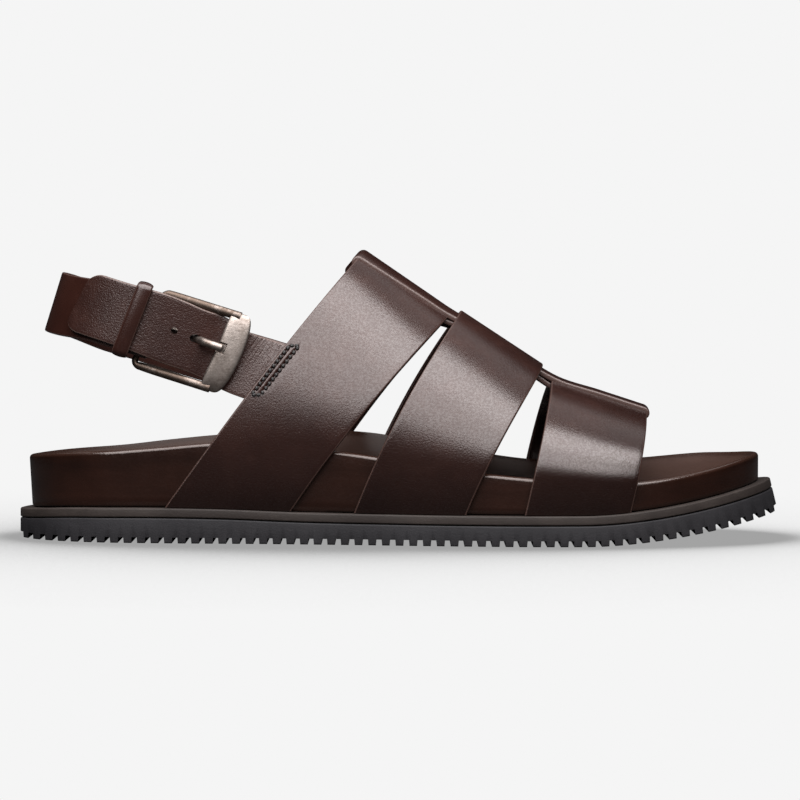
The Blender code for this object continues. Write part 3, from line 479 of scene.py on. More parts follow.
def applied(piece: bpy.types.Object) -> bpy.types.Object:
    """Applies all modifiers of a piece."""
    alone(piece)
    for step in list(piece.modifiers):
        bpy.ops.object.modifier_apply(modifier=step.name)
    return piece


def cut_out(piece: bpy.types.Object, name: str, cutters: Sequence[bpy.types.Object]) -> None:
    """Cuts other pieces out of a piece and removes them.

    Args:
        piece: the piece that is cut.
        name: what the cuts are called.
        cutters: the closed pieces to take out.
    """
    for cutter in cutters:
        cut = piece.modifiers.new(name, "BOOLEAN")
        cut.operation = "DIFFERENCE"
        cut.object = cutter
    applied(piece)
    for cutter in cutters:
        bpy.data.objects.remove(cutter)


def shaded(piece: bpy.types.Object, degrees: float = 48.0) -> bpy.types.Object:
    """Smooth shading that keeps edges sharper than an angle."""
    alone(piece)
    bpy.ops.object.shade_smooth_by_angle(angle=math.radians(degrees))
    return piece


def cleaned(piece: bpy.types.Object, fill: bool = False, merge: float = 0.004 * MM) -> bpy.types.Object:
    """Merges doubles, fills open ends if asked and turns the faces outwards."""
    alone(piece)
    bpy.ops.object.mode_set(mode="EDIT")
    bpy.ops.mesh.select_all(action="SELECT")
    bpy.ops.mesh.remove_doubles(threshold=merge)
    if fill:
        bpy.ops.mesh.fill_holes(sides=0)
        bpy.ops.mesh.select_all(action="SELECT")
    bpy.ops.mesh.normals_make_consistent(inside=False)
    bpy.ops.object.mode_set(mode="OBJECT")
    return piece


def joined(name: str, pieces: Sequence[bpy.types.Object]) -> bpy.types.Object:
    """Joins several pieces into one."""
    nothing_selected()
    for piece in pieces:
        piece.select_set(True)
    bpy.context.view_layer.objects.active = pieces[0]
    bpy.ops.object.join()
    pieces[0].name = name
    return pieces[0]


def settled(piece: bpy.types.Object) -> bpy.types.Object:
    """Puts a piece's place into its mesh, with its object at the origin."""
    alone(piece)
    bpy.ops.object.transform_apply(location=True, rotation=True, scale=True)
    return piece


def draped_grid(
    name: str,
    points: np.ndarray,
    marks: dict[str, np.ndarray] | None = None,
    unit: tuple[float, float] | None = None,
) -> bpy.types.Object:
    """A grid primitive whose points are laid out in space.

    Args:
        name: the piece's name.
        points: rows by columns by 3, in metres.
        marks: numbers on the points, by name, rows by columns.
        unit: the map's size along rows and columns, in metres, or measured if left out.

    Returns:
        The piece.
    """
    rows, columns = points.shape[:2]
    nothing_selected()
    bpy.ops.mesh.primitive_grid_add(x_subdivisions=columns - 1, y_subdivisions=rows - 1, size=1)
    piece = bpy.context.object
    piece.name = name
    mesh = piece.data
    mesh.name = name
    mesh.vertices.foreach_set("co", np.ascontiguousarray(points, np.float32).ravel())
    if unit is None:
        middle_row, middle_column = points[rows // 2], points[:, columns // 2]
        across = np.linalg.norm(np.diff(middle_row, axis=0), axis=1).sum()
        unit = (float(np.linalg.norm(np.diff(middle_column, axis=0), axis=1).sum()), float(across))
    index = np.zeros(len(mesh.loops), np.int32)
    mesh.loops.foreach_get("vertex_index", index)
    down, across = index // columns / (rows - 1), index % columns / (columns - 1)
    flat = np.stack([down * unit[0], across * unit[1]], axis=1)
    mesh.uv_layers[0].name = "UVMap"
    mesh.uv_layers[0].data.foreach_set("uv", flat.astype(np.float32).ravel())
    for key, values in (marks or {}).items():
        layer = mesh.attributes.new(key, "FLOAT", "POINT")
        layer.data.foreach_set("value", np.ascontiguousarray(values, np.float32).ravel())
    mesh.update()
    return piece


def dressed(piece: bpy.types.Object, node: str, slot: Slot, material: bpy.types.Material) -> bpy.types.Object:
    """Gives a piece its material and body, and lets it stand for a node.

    Args:
        piece: the finished piece.
        node: the CAD node that it stands for.
        slot: its material slot in the record; not used.
        material: its finish.

    Returns:
        The same piece.
    """
    piece.data.materials.clear()
    piece.data.materials.append(material)
    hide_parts(node)
    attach(piece, "root")
    LOG.info("%s: %d faces", piece.name, len(piece.data.polygons))
    return piece


# The last: the form that sole, footbed and straps follow


@dataclass
class Last:
    """Sizes and curves of the sole, the footbed's wall and the foot's arch."""

    length: float = 290 * MM
    ball_width: float = 108 * MM
    outsole_thickness: float = 9.2 * MM
    midsole_thickness: float = 3.7 * MM
    toe_spring: float = 11 * MM
    spring_start: float = 0.74
    spring_power: float = 1.7
    ledge: float = 4.6 * MM
    rim_height: float = 25 * MM
    heel_flare: float = 1.1 * MM
    heel_flare_end: float = 0.3
    spine_heel: float = 0.15
    spine_toe: float = 0.86
    instep_height: float = 106 * MM
    ridge_rear: float = 2.5 * MM
    ridge_front: float = 5 * MM
    arch_width_power: float = 2.1
    arch_height_power: float = 2.0
    gap: float = 0.3 * MM
    ring_count: int = 288
    outline: tuple = (
        # along, across
        (0.000, 0.000),
        (0.035, -0.200),
        (0.100, -0.315),
        (0.200, -0.362),
        (0.330, -0.385),
        (0.450, -0.425),
        (0.570, -0.475),
        (0.680, -0.500),
        (0.790, -0.470),
        (0.880, -0.380),
        (0.950, -0.235),
        (0.990, -0.070),
        (1.000, 0.060),
        (0.985, 0.220),
        (0.940, 0.360),
        (0.870, 0.450),
        (0.770, 0.500),
        (0.660, 0.465),
        (0.540, 0.375),
        (0.430, 0.320),
        (0.320, 0.315),
        (0.200, 0.338),
        (0.100, 0.308),
        (0.035, 0.200),
    )
    thickness_along: tuple = (
        # along, thickness
        (0.00, 0.80),
        (0.06, 0.95),
        (0.12, 1.00),
        (0.25, 1.00),
        (0.38, 0.88),
        (0.50, 0.84),
        (0.75, 0.84),
        (1.00, 0.92),
    )
    footbed_along: tuple = (
        # along, lateral, medial, seat
        (0.00, 0.80, 0.80, 0.54),
        (0.08, 0.83, 0.81, 0.53),
        (0.13, 0.855, 0.835, 0.53),
        (0.19, 0.91, 0.91, 0.55),
        (0.26, 0.99, 1.00, 0.60),
        (0.33, 1.01, 1.08, 0.65),
        (0.40, 0.95, 1.125, 0.66),
        (0.46, 0.865, 1.09, 0.62),
        (0.53, 0.75, 0.95, 0.53),
        (0.60, 0.635, 0.79, 0.45),
        (0.67, 0.555, 0.67, 0.38),
        (0.75, 0.49, 0.625, 0.34),
        (0.83, 0.435, 0.605, 0.31),
        (0.91, 0.425, 0.55, 0.29),
        (0.97, 0.43, 0.45, 0.29),
        (1.00, 0.42, 0.42, 0.29),
    )
    straps: dict = field(
        default_factory=lambda: {
            # foot rear, foot front, crest rear, crest front, height rear, height front, medial, sag, sag
            "rear_strap": (0.198, 0.361, 0.446, 0.563, 1.010, 0.792, 0.015, 0.10, 0.19),
            "middle_strap": (0.442, 0.586, 0.576, 0.685, 0.803, 0.608, 0.000, 0.28, 0.26),
            "front_strap": (0.660, 0.795, 0.697, 0.822, 0.557, 0.446, 0.000, 0.00, 0.00),
        }
    )

    def __post_init__(self) -> None:
        """Reads the tables into curves and samples the outline."""
        self.thickness = column(self.thickness_along, 1)
        self.rim_lateral = column(self.footbed_along, 1)
        self.rim_medial = column(self.footbed_along, 2)
        self.seat = column(self.footbed_along, 3)
        self.edge = self._outline_points()
        self.edge_out = self._outward(self.edge)
        self.spine = self._spine()
        self.walls = self._side_tables()

    def share_of(self, x: float) -> float:
        """The share of the length at x."""
        return x / self.length + 0.5

    def _outline_points(self) -> np.ndarray:
        """The outline from heel to toe and back, fitted to length and ball width."""
        rows = np.array(self.outline) * (self.length, self.ball_width)
        wrap = 3
        looped = np.vstack([rows[-wrap:], rows, rows[: wrap + 1]])
        steps = np.linalg.norm(np.diff(looped, axis=0), axis=1)
        places = np.concatenate([[0], np.cumsum(steps)])
        along = smooth_curve(places, looped[:, 0])
        across = smooth_curve(places, looped[:, 1])
        heel, toe, end = places[wrap], places[wrap + len(rows) // 2], places[wrap + len(rows)]
        half = self.ring_count // 2
        sides = ((heel, toe), (toe, end))
        sampled = [place for side in sides for place in np.linspace(*side, half, endpoint=False)]
        found = np.array([(along(place), across(place)) for place in sampled])
        low, high = found.min(axis=0), found.max(axis=0)
        return (found - (low + high) / 2) / (high - low) * (self.length, self.ball_width)

    def _outward(self, points: np.ndarray) -> np.ndarray:
        """The outward direction at each point of a closed outline."""
        tangent = np.roll(points, -1, axis=0) - np.roll(points, 1, axis=0)
        normal = np.stack([tangent[:, 1], -tangent[:, 0]], axis=1)
        normal /= np.linalg.norm(normal, axis=1)[:, None]
        return normal if (normal * points).sum() > 0 else -normal

    def _spine(self) -> np.ndarray:
        """The middle line: the two outline points across from each other share a place on it."""
        count = len(self.edge)
        middles = [(self.edge[i] + self.edge[-i % count]) / 2 for i in range(count // 2 + 1)]
        inner = [i for i, m in enumerate(middles) if self.spine_heel <= self.share_of(m[0]) <= self.spine_toe]
        chosen = [min(max(min(i, count - i), inner[0]), inner[-1]) for i in range(count)]
        return np.array([middles[i] for i in chosen])

    def spring(self, x: float) -> float:
        """How high the sole's underside lifts at x."""
        past = max(self.share_of(x) - self.spring_start, 0) / (1 - self.spring_start)
        return self.toe_spring * past**self.spring_power

    def spring_slope(self, x: float) -> float:
        """The toe spring's slope at x."""
        run = 1 - self.spring_start
        past = max(self.share_of(x) - self.spring_start, 0) / run
        return self.toe_spring * self.spring_power * past ** (self.spring_power - 1) / (run * self.length)

    def outsole_top(self, x: float) -> float:
        """The outsole's upper level over its underside."""
        return self.outsole_thickness * self.thickness(self.share_of(x))

    def sole_top(self, x: float) -> float:
        """The midsole's upper level over the underside."""
        return self.outsole_top(x) + self.midsole_thickness

    def sole_point(self, x: float, y: float, level: float) -> tuple[float, float, float]:
        """A point of the sole at a level over its underside, square to the toe spring."""
        return x - self.spring_slope(x) * level, y, self.spring(x) + level

    def footbed_plan(self, inset: float, flare: float) -> list[tuple[float, float, float]]:
        """The footbed's outline in from the sole's edge.

        Args:
            inset: how far in from the footbed's own wall.
            flare: share of the heel's outward lean.

        Returns:
            x, y and the outline's x for each point.
        """
        found = []
        for (x, y), (nx, ny) in zip(self.edge, self.edge_out):
            lean = max(0.0, 1 - self.share_of(x) / self.heel_flare_end)
            out = flare * self.heel_flare * lean - self.ledge - inset
            px, py = x + nx * out, y + ny * out
            found.append((px - self.spring_slope(px) * self.sole_top(px), py, px))
        return found

    def rim_at(self, y: float, spine_y: float, x: float) -> float:
        """Height of the rim over the sole, blended from side to side round heel and toe."""
        share = self.share_of(x)
        side = ease(-0.25 * self.ball_width, 0.25 * self.ball_width, y - spine_y)
        return self.rim_height * between(self.rim_lateral(share), self.rim_medial(share), side)

    def _side_tables(self) -> dict[int, np.ndarray]:
        """The footbed's wall as tables along x, one a side: x, y, ledge height and rim height."""
        rows = []
        for i, (px, py, x) in enumerate(self.footbed_plan(0, 1)):
            base = self.spring(x) + self.sole_top(x)
            rows.append((px, py, base, base + self.rim_at(py, self.spine[i][1], x)))
        table = np.array(rows)
        found = {}
        for side, chosen in ((-1, table[:, 1] < self.spine[:, 1]), (1, table[:, 1] > self.spine[:, 1])):
            part = table[chosen]
            found[side] = part[np.argsort(part[:, 0])].T
        return found

    def wall_at(self, x: float, side: int) -> tuple[float, float, float]:
        """The wall's place across, the ledge's height and the rim's height at x."""
        table = self.walls[side]
        return tuple(float(np.interp(x, table[0], table[k])) for k in (1, 2, 3))

    def ridge_at(self, x: float) -> float:
        """Where the crest of the straps lies across the foot."""
        start = (self.straps["rear_strap"][2] - 0.5) * self.length
        end = (self.straps["front_strap"][3] - 0.5) * self.length
        return between(self.ridge_rear, self.ridge_front, (x - start) / (end - start))

    def strap_line(self, strap: str, across: float) -> tuple[float, float, float, float, float]:
        """Foot place, crest place, crest height, medial shift and sag of one line along a strap."""
        row = self.straps[strap]
        foot = (between(row[0], row[1], across) - 0.5) * self.length
        crest = (between(row[2], row[3], across) - 0.5) * self.length
        height = between(row[4], row[5], across) * self.instep_height
        return foot, crest, height, row[6] * self.length, between(row[7], row[8], across)

    def strap_point(self, strap: str, across: float, side: int, rise: float, turn: float | None) -> tuple:
        """A point of a strap's inner face: up the footbed's wall first, then over the foot.

        Args:
            strap: the strap's name.
            across: share of its width from its rear edge.
            side: -1 lateral, 1 medial.
            rise: share of the wall's height, where turn is None.
            turn: angle over the foot from the rim, a quarter turn at the crest.

        Returns:
            The point.
        """
        foot, crest, height, medial, sag = self.strap_line(strap, across)
        foot += medial if side > 0 else 0
        _, ledge, rim = self.wall_at(foot, side)
        base = ledge + self.gap
        if turn is None:
            z, reach = between(base, rim, rise), 1.0
        else:
            reach = max(math.cos(turn), 0.0) ** (2 / self.arch_width_power)
            z = between(rim, height, math.sin(turn) ** (2 / self.arch_height_power))
        share = (z - base) / (height - base)
        x = between(foot, crest, share - sag * share * (1 - share))
        wall = self.wall_at(x, side)[0] + side * self.gap
        return x, between(self.ridge_at(x), wall, reach), z

    def strap_face(self, strap: str, x: float, z: float, side: int) -> float:
        """How far across the inner face of a cross strap lies at x and z."""
        places = []
        shares = np.linspace(-0.6, 1.2, 19)
        for across in shares:
            foot, crest, height, medial, sag = self.strap_line(strap, across)
            foot += medial if side > 0 else 0
            base = self.wall_at(foot, side)[1] + self.gap
            share = (z - base) / (height - base)
            places.append(between(foot, crest, share - sag * share * (1 - share)))
        across = float(np.interp(x, places, shares))
        height = self.strap_line(strap, across)[2]
        wall, _, rim = self.wall_at(x, side)
        rise = min(max((z - rim) / (height - rim), 0), 1)
        reach = (1 - rise**self.arch_height_power) ** (1 / self.arch_width_power)
        return between(self.ridge_at(x), wall, reach)

    def crest_frame(self, strap: str) -> tuple[np.ndarray, np.ndarray, np.ndarray, float]:
        """The crest line's rear end, direction, upward normal and length, in X and Z."""
        _, rear, rear_height, _, _ = self.strap_line(strap, 0)
        _, front, front_height, _, _ = self.strap_line(strap, 1)
        start = np.array((rear, rear_height))
        run = np.array((front, front_height)) - start
        length = float(np.linalg.norm(run))
        run /= length
        return start, run, np.array((-run[1], run[0])), length

    def crest_point(self, strap: str, share: float, past: float, out: float) -> tuple[float, ...]:
        """A point by a strap's crest line, so far past a share of its length and so far out."""
        start, run, normal, length = self.crest_frame(strap)
        return tuple(start + run * (share * length + past) + normal * out)

    def lean_of(self, strap: str, share: float) -> float:
        """How far a line of a strap leans forward for each metre of its height."""
        foot, crest, height, _, sag = self.strap_line(strap, share)
        return (crest - foot) / (height - self.wall_at(foot, -1)[1]) * (1 + sag)


# Leather bands with a rounded edge


@dataclass(frozen=True)
class Section:
    """The cross section of a band: its width, its thickness and the radius of its cut edges."""

    width: float
    thickness: float
    radius: float
    steps: int = 24
    corner: int = 4
    extra: tuple = ()

    def profile(self) -> list[tuple[float, float, float]]:
        """Share across, distance out and edge mark round the section, first point repeated last."""
        r = self.radius
        share = r / self.width
        lines = np.unique(np.round([*np.linspace(share, 1 - share, self.steps), *self.extra], 6))
        found = [(a, self.thickness, 0.0) for a in lines]
        turns = [math.radians(90 * k / self.corner) for k in range(1, self.corner + 1)]
        far = [(1 - share + share * math.sin(t), r * (1 - math.cos(t))) for t in turns]
        found += [(a, self.thickness - fall, 1.0) for a, fall in far]
        found += [(a, fall, 1.0) for a, fall in reversed(far)]
        found += [(a, 0.0, 0.0) for a in reversed(lines)]
        found += [(1 - a, fall, 1.0) for a, fall in far]
        found += [(1 - a, self.thickness - fall, 1.0) for a, fall in reversed(far)]
        return found + [found[0]]


@dataclass
class Band:
    """A leather band on an inner surface that is known line by line."""

    name: str
    section: Section
    line: Callable[[float], np.ndarray]
    inside: tuple[float, float, float]
    relief: Callable[[np.ndarray, np.ndarray], np.ndarray] | None = None
    crease: Callable[[np.ndarray, np.ndarray], np.ndarray] | None = None

    def surface(self) -> tuple[np.ndarray, np.ndarray, np.ndarray]:
        """Inner points and outward directions.

        Returns:
            The shares across, the points and the directions, lines by stations.
        """
        shares = np.array(sorted({round(a, 6) for a, _, _ in self.section.profile()}))
        points = np.stack([self.line(a) for a in shares])
        across = np.gradient(points, shares, axis=0)
        along = np.gradient(points, axis=1)
        normal = np.cross(across, along)
        normal /= np.maximum(np.linalg.norm(normal, axis=2, keepdims=True), 1e-12)
        if (normal * (points - np.array(self.inside))).sum() < 0:
            normal = -normal
        return shares, points, normal

    def outer(self, share: float) -> np.ndarray:
        """The outer face's points along one line."""
        shares, points, normal = self.surface()
        k = int(np.argmin(abs(shares - share)))
        return points[k] + normal[k] * self.section.thickness

    def build(self) -> bpy.types.Object:
        """Makes the closed band."""
        shares, points, normal = self.surface()
        keys = {value: k for k, value in enumerate(shares)}
        rows = []
        edges = []
        creases = []
        stations = np.linspace(0, 1, points.shape[1])
        for a, out, edge in self.section.profile():
            k = keys[round(a, 6)]
            reach = np.full(points.shape[1], out)
            if self.relief is not None and out > self.section.thickness / 2:
                reach = reach + self.relief(np.full_like(stations, a), points[k])
            rows.append(points[k] + normal[k] * reach[:, None])
            edges.append(np.full_like(stations, edge))
            if self.crease is None:
                creases.append(np.zeros_like(stations))
            else:
                creases.append(self.crease(np.full_like(stations, a), points[k]))
        laid = np.swapaxes(np.array(rows), 0, 1)
        marks = {"edge": np.array(edges).T, "crease": np.array(creases).T}
        length = float(np.linalg.norm(np.diff(points[len(shares) // 2], axis=0), axis=1).sum())
        piece = draped_grid(self.name, laid, marks, (length, 2 * self.section.width))
        return cleaned(piece, fill=True)


@dataclass
class Sole:
    """Outsole with cross grooves, and the midsole on it."""

    last: Last
    corner: float = 0.55 * MM
    groove_pitch: float = 5.1 * MM
    groove_width: float = 1.9 * MM
    groove_depth: float = 2.2 * MM
    groove_flare: float = 1.35
    groove_drop: float = 1.5 * MM
    end_inset: float = 0.7 * MM
    groove_overhang: float = 1.2
    tooth_edge: float = 0.22 * MM
    tooth_angle: float = 50.0
    charcoal: tuple[Colour, Colour] = ((0.0115, 0.0105, 0.0120), (0.0260, 0.0245, 0.0270))
    grey: tuple[Colour, Colour] = ((0.0170, 0.0125, 0.0112), (0.0480, 0.0380, 0.0335))
    grey_roughness: float = 0.5

    def _layer(
        self, name: str, low: Callable[[float], float], high: Callable[[float], float]
    ) -> bpy.types.Object:
        """A layer of the sole between two levels, with rounded edges.

        Args:
            name: the piece's name.
            low: the lower level at x.
            high: the upper level at x.

        Returns:
            The closed piece.
        """
        last = self.last
        turns = [math.radians(90 * k / 4) for k in range(5)]
        lower = [(self.corner * (1 - math.sin(t)), self.corner * (1 - math.cos(t)), low) for t in turns]
        upper = [(inset, -rise, high) for inset, rise, _ in reversed(lower)]
        rings = [[last.sole_point(x, y, low(x)) for x, y in last.spine]]
        for inset, rise, level in lower + upper:
            plan = last.edge - last.edge_out * inset
            rings.append([last.sole_point(x, y, level(x) + rise) for x, y in plan])
        rings.append([last.sole_point(x, y, high(x)) for x, y in last.spine])
        points = np.array(rings)
        points = np.concatenate([points, points[:, :1]], axis=1)
        return cleaned(draped_grid(name, points))

    def _grooves(self) -> bpy.types.Object:
        """All groove cutters as one piece: bars across the sole with the wider side down."""
        last = self.last
        count = round(last.length / self.groove_pitch)
        furthest = last.length / 2 - self.end_inset
        bars = []
        for number in range(count + 1):
            x = min(max((number / count - 0.5) * last.length, -furthest), furthest)
            nothing_selected()
            bpy.ops.mesh.primitive_cube_add(size=1)
            bar = bpy.context.object
            for vert in bar.data.vertices:
                wide = self.groove_flare if vert.co.z < 0 else 1
                vert.co.x *= self.groove_width * wide
                vert.co.y *= last.ball_width * self.groove_overhang
                vert.co.z = self.groove_depth if vert.co.z > 0 else -self.groove_drop
            bar.location = (x, 0, last.spring(x))
            bar.rotation_euler = (0, -math.atan(last.spring_slope(x)), 0)
            bars.append(bar)
        return settled(joined("groove_bars", bars))

    def build(self) -> None:
        """Builds and dresses both layers."""
        last = self.last
        outsole = self._layer("ribbed_outsole", lambda x: 0.0, last.outsole_top)
        cut_out(outsole, "Grooves", [self._grooves()])
        soft = outsole.modifiers.new("Tooth_edges", "BEVEL")
        soft.width = self.tooth_edge
        soft.segments = 2
        soft.limit_method = "ANGLE"
        soft.angle_limit = math.radians(self.tooth_angle)
        applied(outsole)
        charcoal = RubberFinish("charcoal_rubber", *self.charcoal)
        dressed(shaded(outsole), "outsole", Slot.OUTSOLE, charcoal.make())
        midsole = self._layer("midsole_layer", lambda x: last.outsole_top(x) + last.gap, last.sole_top)
        grey = RubberFinish("grey_midsole", *self.grey, self.grey_roughness)
        dressed(shaded(midsole), "midsole", Slot.MIDSOLE, grey.make())


@dataclass
class Footbed:
    """The leather-wrapped footbed: wall, soft rolled rim, heel cup and seat."""

    last: Last
    cup_fall: float = 2.2
    foot_tuck: float = 0.5 * MM
    rim_radius: float = 1.5 * MM
    wall_shares: tuple = (0.04, 0.2, 0.4, 0.6, 0.8, 1.0)
    rim_angles: tuple = (15, 30, 45, 60, 75, 90)
    seat_shares: tuple = (0.012, 0.03, 0.05, 0.09, 0.14, 0.2, 0.27, 0.35, 0.45, 0.57, 0.7, 0.85, 1.0)

    def build(self) -> None:
        """Builds and dresses the footbed."""
        last = self.last
        feet = last.footbed_plan(0, 0)
        heads = last.footbed_plan(0, 1)
        bases = [last.spring(x) + last.sole_top(x) + last.gap for _, _, x in feet]
        rims = [last.rim_at(y, last.spine[i][1], x) - last.gap for i, (_, y, x) in enumerate(feet)]
        middles = []
        for x, y in last.spine:
            base = last.spring(x) + last.sole_top(x) + last.gap
            height = base + last.rim_height * last.seat(last.share_of(x))
            middles.append((x - last.spring_slope(x) * last.sole_top(x), y, base, height))
        rings = [[(x, y, base) for x, y, base, _ in middles]]
        marks = [(0.0, 0.0)]
        tucked = last.footbed_plan(self.foot_tuck, 0)
        rings.append([(x, y, base) for (x, y, _), base in zip(tucked, bases)])
        marks.append((0.0, 0.0))
        for share in self.wall_shares:
            ring = []
            for foot, head, base, rim in zip(feet, heads, bases, rims):
                x, y = between(foot[0], head[0], share), between(foot[1], head[1], share)
                ring.append((x, y, base + (rim - self.rim_radius) * share))
            rings.append(ring)
            marks.append((0.0, 0.0))
        for angle in self.rim_angles:
            cosine, sine = spin(angle)
            plan = last.footbed_plan(self.rim_radius * (1 - cosine), 1)
            drop = self.rim_radius * (1 - sine)
            rings.append([(x, y, base + rim - drop) for (x, y, _), base, rim in zip(plan, bases, rims)])
            marks.append((0.0, sine))
        crest = last.footbed_plan(self.rim_radius, 1)
        for q in self.seat_shares:
            fall = 1 - (1 - q) ** self.cup_fall
            ring = []
            for (x, y, _), base, rim, middle in zip(crest, bases, rims, middles):
                height = between(base + rim, middle[3], fall)
                ring.append((between(x, middle[0], q), between(y, middle[1], q), height))
            rings.append(ring)
            marks.append((ease(0.0, 0.12, q), 1 - ease(0.0, 0.06, q)))
        points = np.array(rings)
        points = np.concatenate([points, points[:, :1]], axis=1)
        columns = points.shape[1]
        seat = np.repeat([[m[0]] for m in marks], columns, axis=1)
        rim_mark = np.repeat([[m[1]] for m in marks], columns, axis=1)
        piece = cleaned(draped_grid("wrapped_footbed", points, {"seat": seat, "rim": rim_mark}))
        finish = LiningFinish("burnished_footbed")
        dressed(shaded(piece, 60), "footbed", Slot.FOOTBED, finish.make())


@dataclass
class Upper:
    """The cross straps and the centre strap that ties them."""

    last: Last
    thickness: float = 2.2 * MM
    edge_radius: float = 0.6 * MM
    centre_width: float = 25 * MM
    centre_thickness: float = 2.2 * MM
    join_depth: float = 0.8 * MM
    lower_step: float = 0.12 * MM
    lower_inset: float = 0.45 * MM
    fold_tuck: float = 5 * MM
    drop_share: float = 0.9
    wall_steps: int = 10
    arch_steps: int = 110
    centre_steps: int = 22
    box_low: float = 55.6 * MM
    box_high: float = 73.9 * MM
    box_rows: tuple[float, float] = (0.044, 0.108)
    box_puff: float = 0.25 * MM
    box_dip: float = 0.6 * MM
    box_count: int = 11
    box_wave: float = 0.28
    box_dip_width: float = 0.024
    box_fade: float = 2.5 * MM
    box_lines_across: tuple = tuple(round(0.016 + 0.006 * k, 6) for k in range(19))

    def _row(self, strap: str, across: float) -> np.ndarray:
        """One line along a strap's inner face, from its lateral foot over the crest."""
        last = self.last
        shares = [k / self.wall_steps for k in range(self.wall_steps)]
        lateral = [last.strap_point(strap, across, -1, share, None) for share in shares]
        medial = [last.strap_point(strap, across, 1, share, None) for share in shares]
        turns = [0.5 * math.pi * k / self.arch_steps for k in range(self.arch_steps + 1)]
        lateral += [last.strap_point(strap, across, -1, 1, turn) for turn in turns]
        medial += [last.strap_point(strap, across, 1, 1, turn) for turn in turns[:-1]]
        return np.array(lateral + medial[::-1])

    def _box_relief(self, across: np.ndarray, points: np.ndarray) -> np.ndarray:
        """How the leather swells between the two stitched rows and dips along them."""
        first, second = self.box_rows
        inside = (across > first - 0.02) & (across < second + 0.02)
        swell = bump(across, (first + second) / 2, (second - first) * 0.75)
        dip = bump(across, first, self.box_dip_width) + bump(across, second, self.box_dip_width)
        z = points[:, 2]
        stitch = (z - self.box_low) / (self.box_high - self.box_low) * self.box_count
        swell = swell * (1 - self.box_wave + self.box_wave * np.cos(stitch * 2 * math.pi))
        low, high = (z - self.box_low) / self.box_fade, (self.box_high - z) / self.box_fade
        span = np.clip(low, 0, 1) * np.clip(high, 0, 1)
        lateral = points[:, 1] < 0
        return inside * lateral * span * (self.box_puff * swell - self.box_dip * dip)

    def _strap(self, strap: str) -> Band:
        """One cross strap as a band."""
        last = self.last
        row = last.straps[strap]
        run = np.hypot((row[3] - row[2]) * last.length, (row[5] - row[4]) * last.instep_height)
        foot, crest, height, _, _ = last.strap_line(strap, 0.5)
        middle = between(last.wall_at(crest, -1)[2], height, 0.4)
        inside = (between(foot, crest, 0.5), last.ridge_at(crest), middle)
        sewn = strap == "rear_strap"
        extra = self.box_lines_across if sewn else ()
        section = Section(float(run), self.thickness, self.edge_radius, extra=extra)
        relief = self._box_relief if sewn else None
        return Band(strap, section, lambda a: self._row(strap, a), inside, relief)

    def _centre_station(
        self, strap: str, share: float, past: float, low: float, high: float, shift: float = 0.0
    ) -> tuple:
        """Two points of the centre strap's long section, one on each face, and the lean there."""
        last = self.last
        top = last.crest_point(strap, share, past, high)
        return (*top, *last.crest_point(strap, share, past + shift, low), last.lean_of(strap, share))

    def _fold(self, strap: str, share: float, way: int) -> list[tuple]:
        """The centre strap's turn round the end of a cross strap, from under it to over it."""
        past_edge = self.centre_thickness - self.join_depth
        radius = self.thickness / 2 + past_edge
        core = self.thickness / 2 - self.join_depth
        found = [self._centre_station(strap, share, way * self.fold_tuck, self.join_depth, -past_edge)]
        for angle in range(-90, 91, 10):
            cosine, sine = spin(angle)
            past = way * (radius * (1 - cosine) - past_edge)
            inner = way * (self.join_depth + core * (1 - cosine))
            low = self.thickness / 2 + core * sine
            high = self.thickness / 2 + radius * sine
            found.append(self._centre_station(strap, share, past, low, high, inner - past))
        return found

    def _smooth(self, stations: list[tuple], steps: int) -> list[tuple]:
        """Stations along a smooth open path through the given ones."""
        table = np.array(stations, float)
        lengths = np.linalg.norm(np.diff(table[:, :2], axis=0), axis=1)
        places = np.concatenate([[0], np.cumsum(lengths)])
        axes = [smooth_curve(places, table[:, k]) for k in range(table.shape[1])]
        found = [between(a, b, k / steps) for a, b in zip(places, places[1:]) for k in range(steps)]
        return [tuple(axis(place) for axis in axes) for place in [*found, places[-1]]]

    def _centre_runs(self, runs: Sequence[tuple]) -> list[tuple]:
        """Stations by each strap's places, as share across and distance past it, between two faces."""
        return [self._centre_station(strap, *at, *faces) for strap, places, faces in runs for at in places]

    def _upper_stations(self) -> list[tuple]:
        """Over the rear strap, under the middle one and over the front one, folded round both ends."""
        over = (self.thickness - self.join_depth, self.thickness - self.join_depth + self.centre_thickness)
        under = (self.join_depth - self.centre_thickness, self.join_depth)
        rear_fold = self._fold("rear_strap", 0, 1)
        front_fold = self._fold("front_strap", 1, -1)[::-1]
        runs = (
            ("rear_strap", ((0.4, 0), (0.75, 0), (0.95, 0)), over),
            ("middle_strap", ((0.07, 0), (0.5, 0), (0.93, 0)), under),
            ("front_strap", ((0.05, 0), (0.5, 0)), over),
        )
        free = [rear_fold[-1], *self._centre_runs(runs), front_fold[0]]
        return rear_fold[:-1] + self._smooth(free, 12) + front_fold[1:]

    def _lower_stations(self) -> list[tuple]:
        """The strap's way back under all three cross straps."""
        top = self.join_depth - self.lower_step
        under = (top - self.centre_thickness, top)
        layered = self.join_depth / 2 - self.centre_thickness
        beneath = (layered + self.join_depth - self.centre_thickness, layered + self.join_depth)
        end = 0.8 * self.fold_tuck
        runs = (
            ("rear_strap", ((0, end), (0.5, 0), (0.95, 0)), under),
            ("middle_strap", ((0.07, 0), (0.5, 0), (0.93, 0)), beneath),
            ("front_strap", ((0.05, 0), (0.5, 0), (1, -end)), under),
        )
        return self._smooth(self._centre_runs(runs), 8)

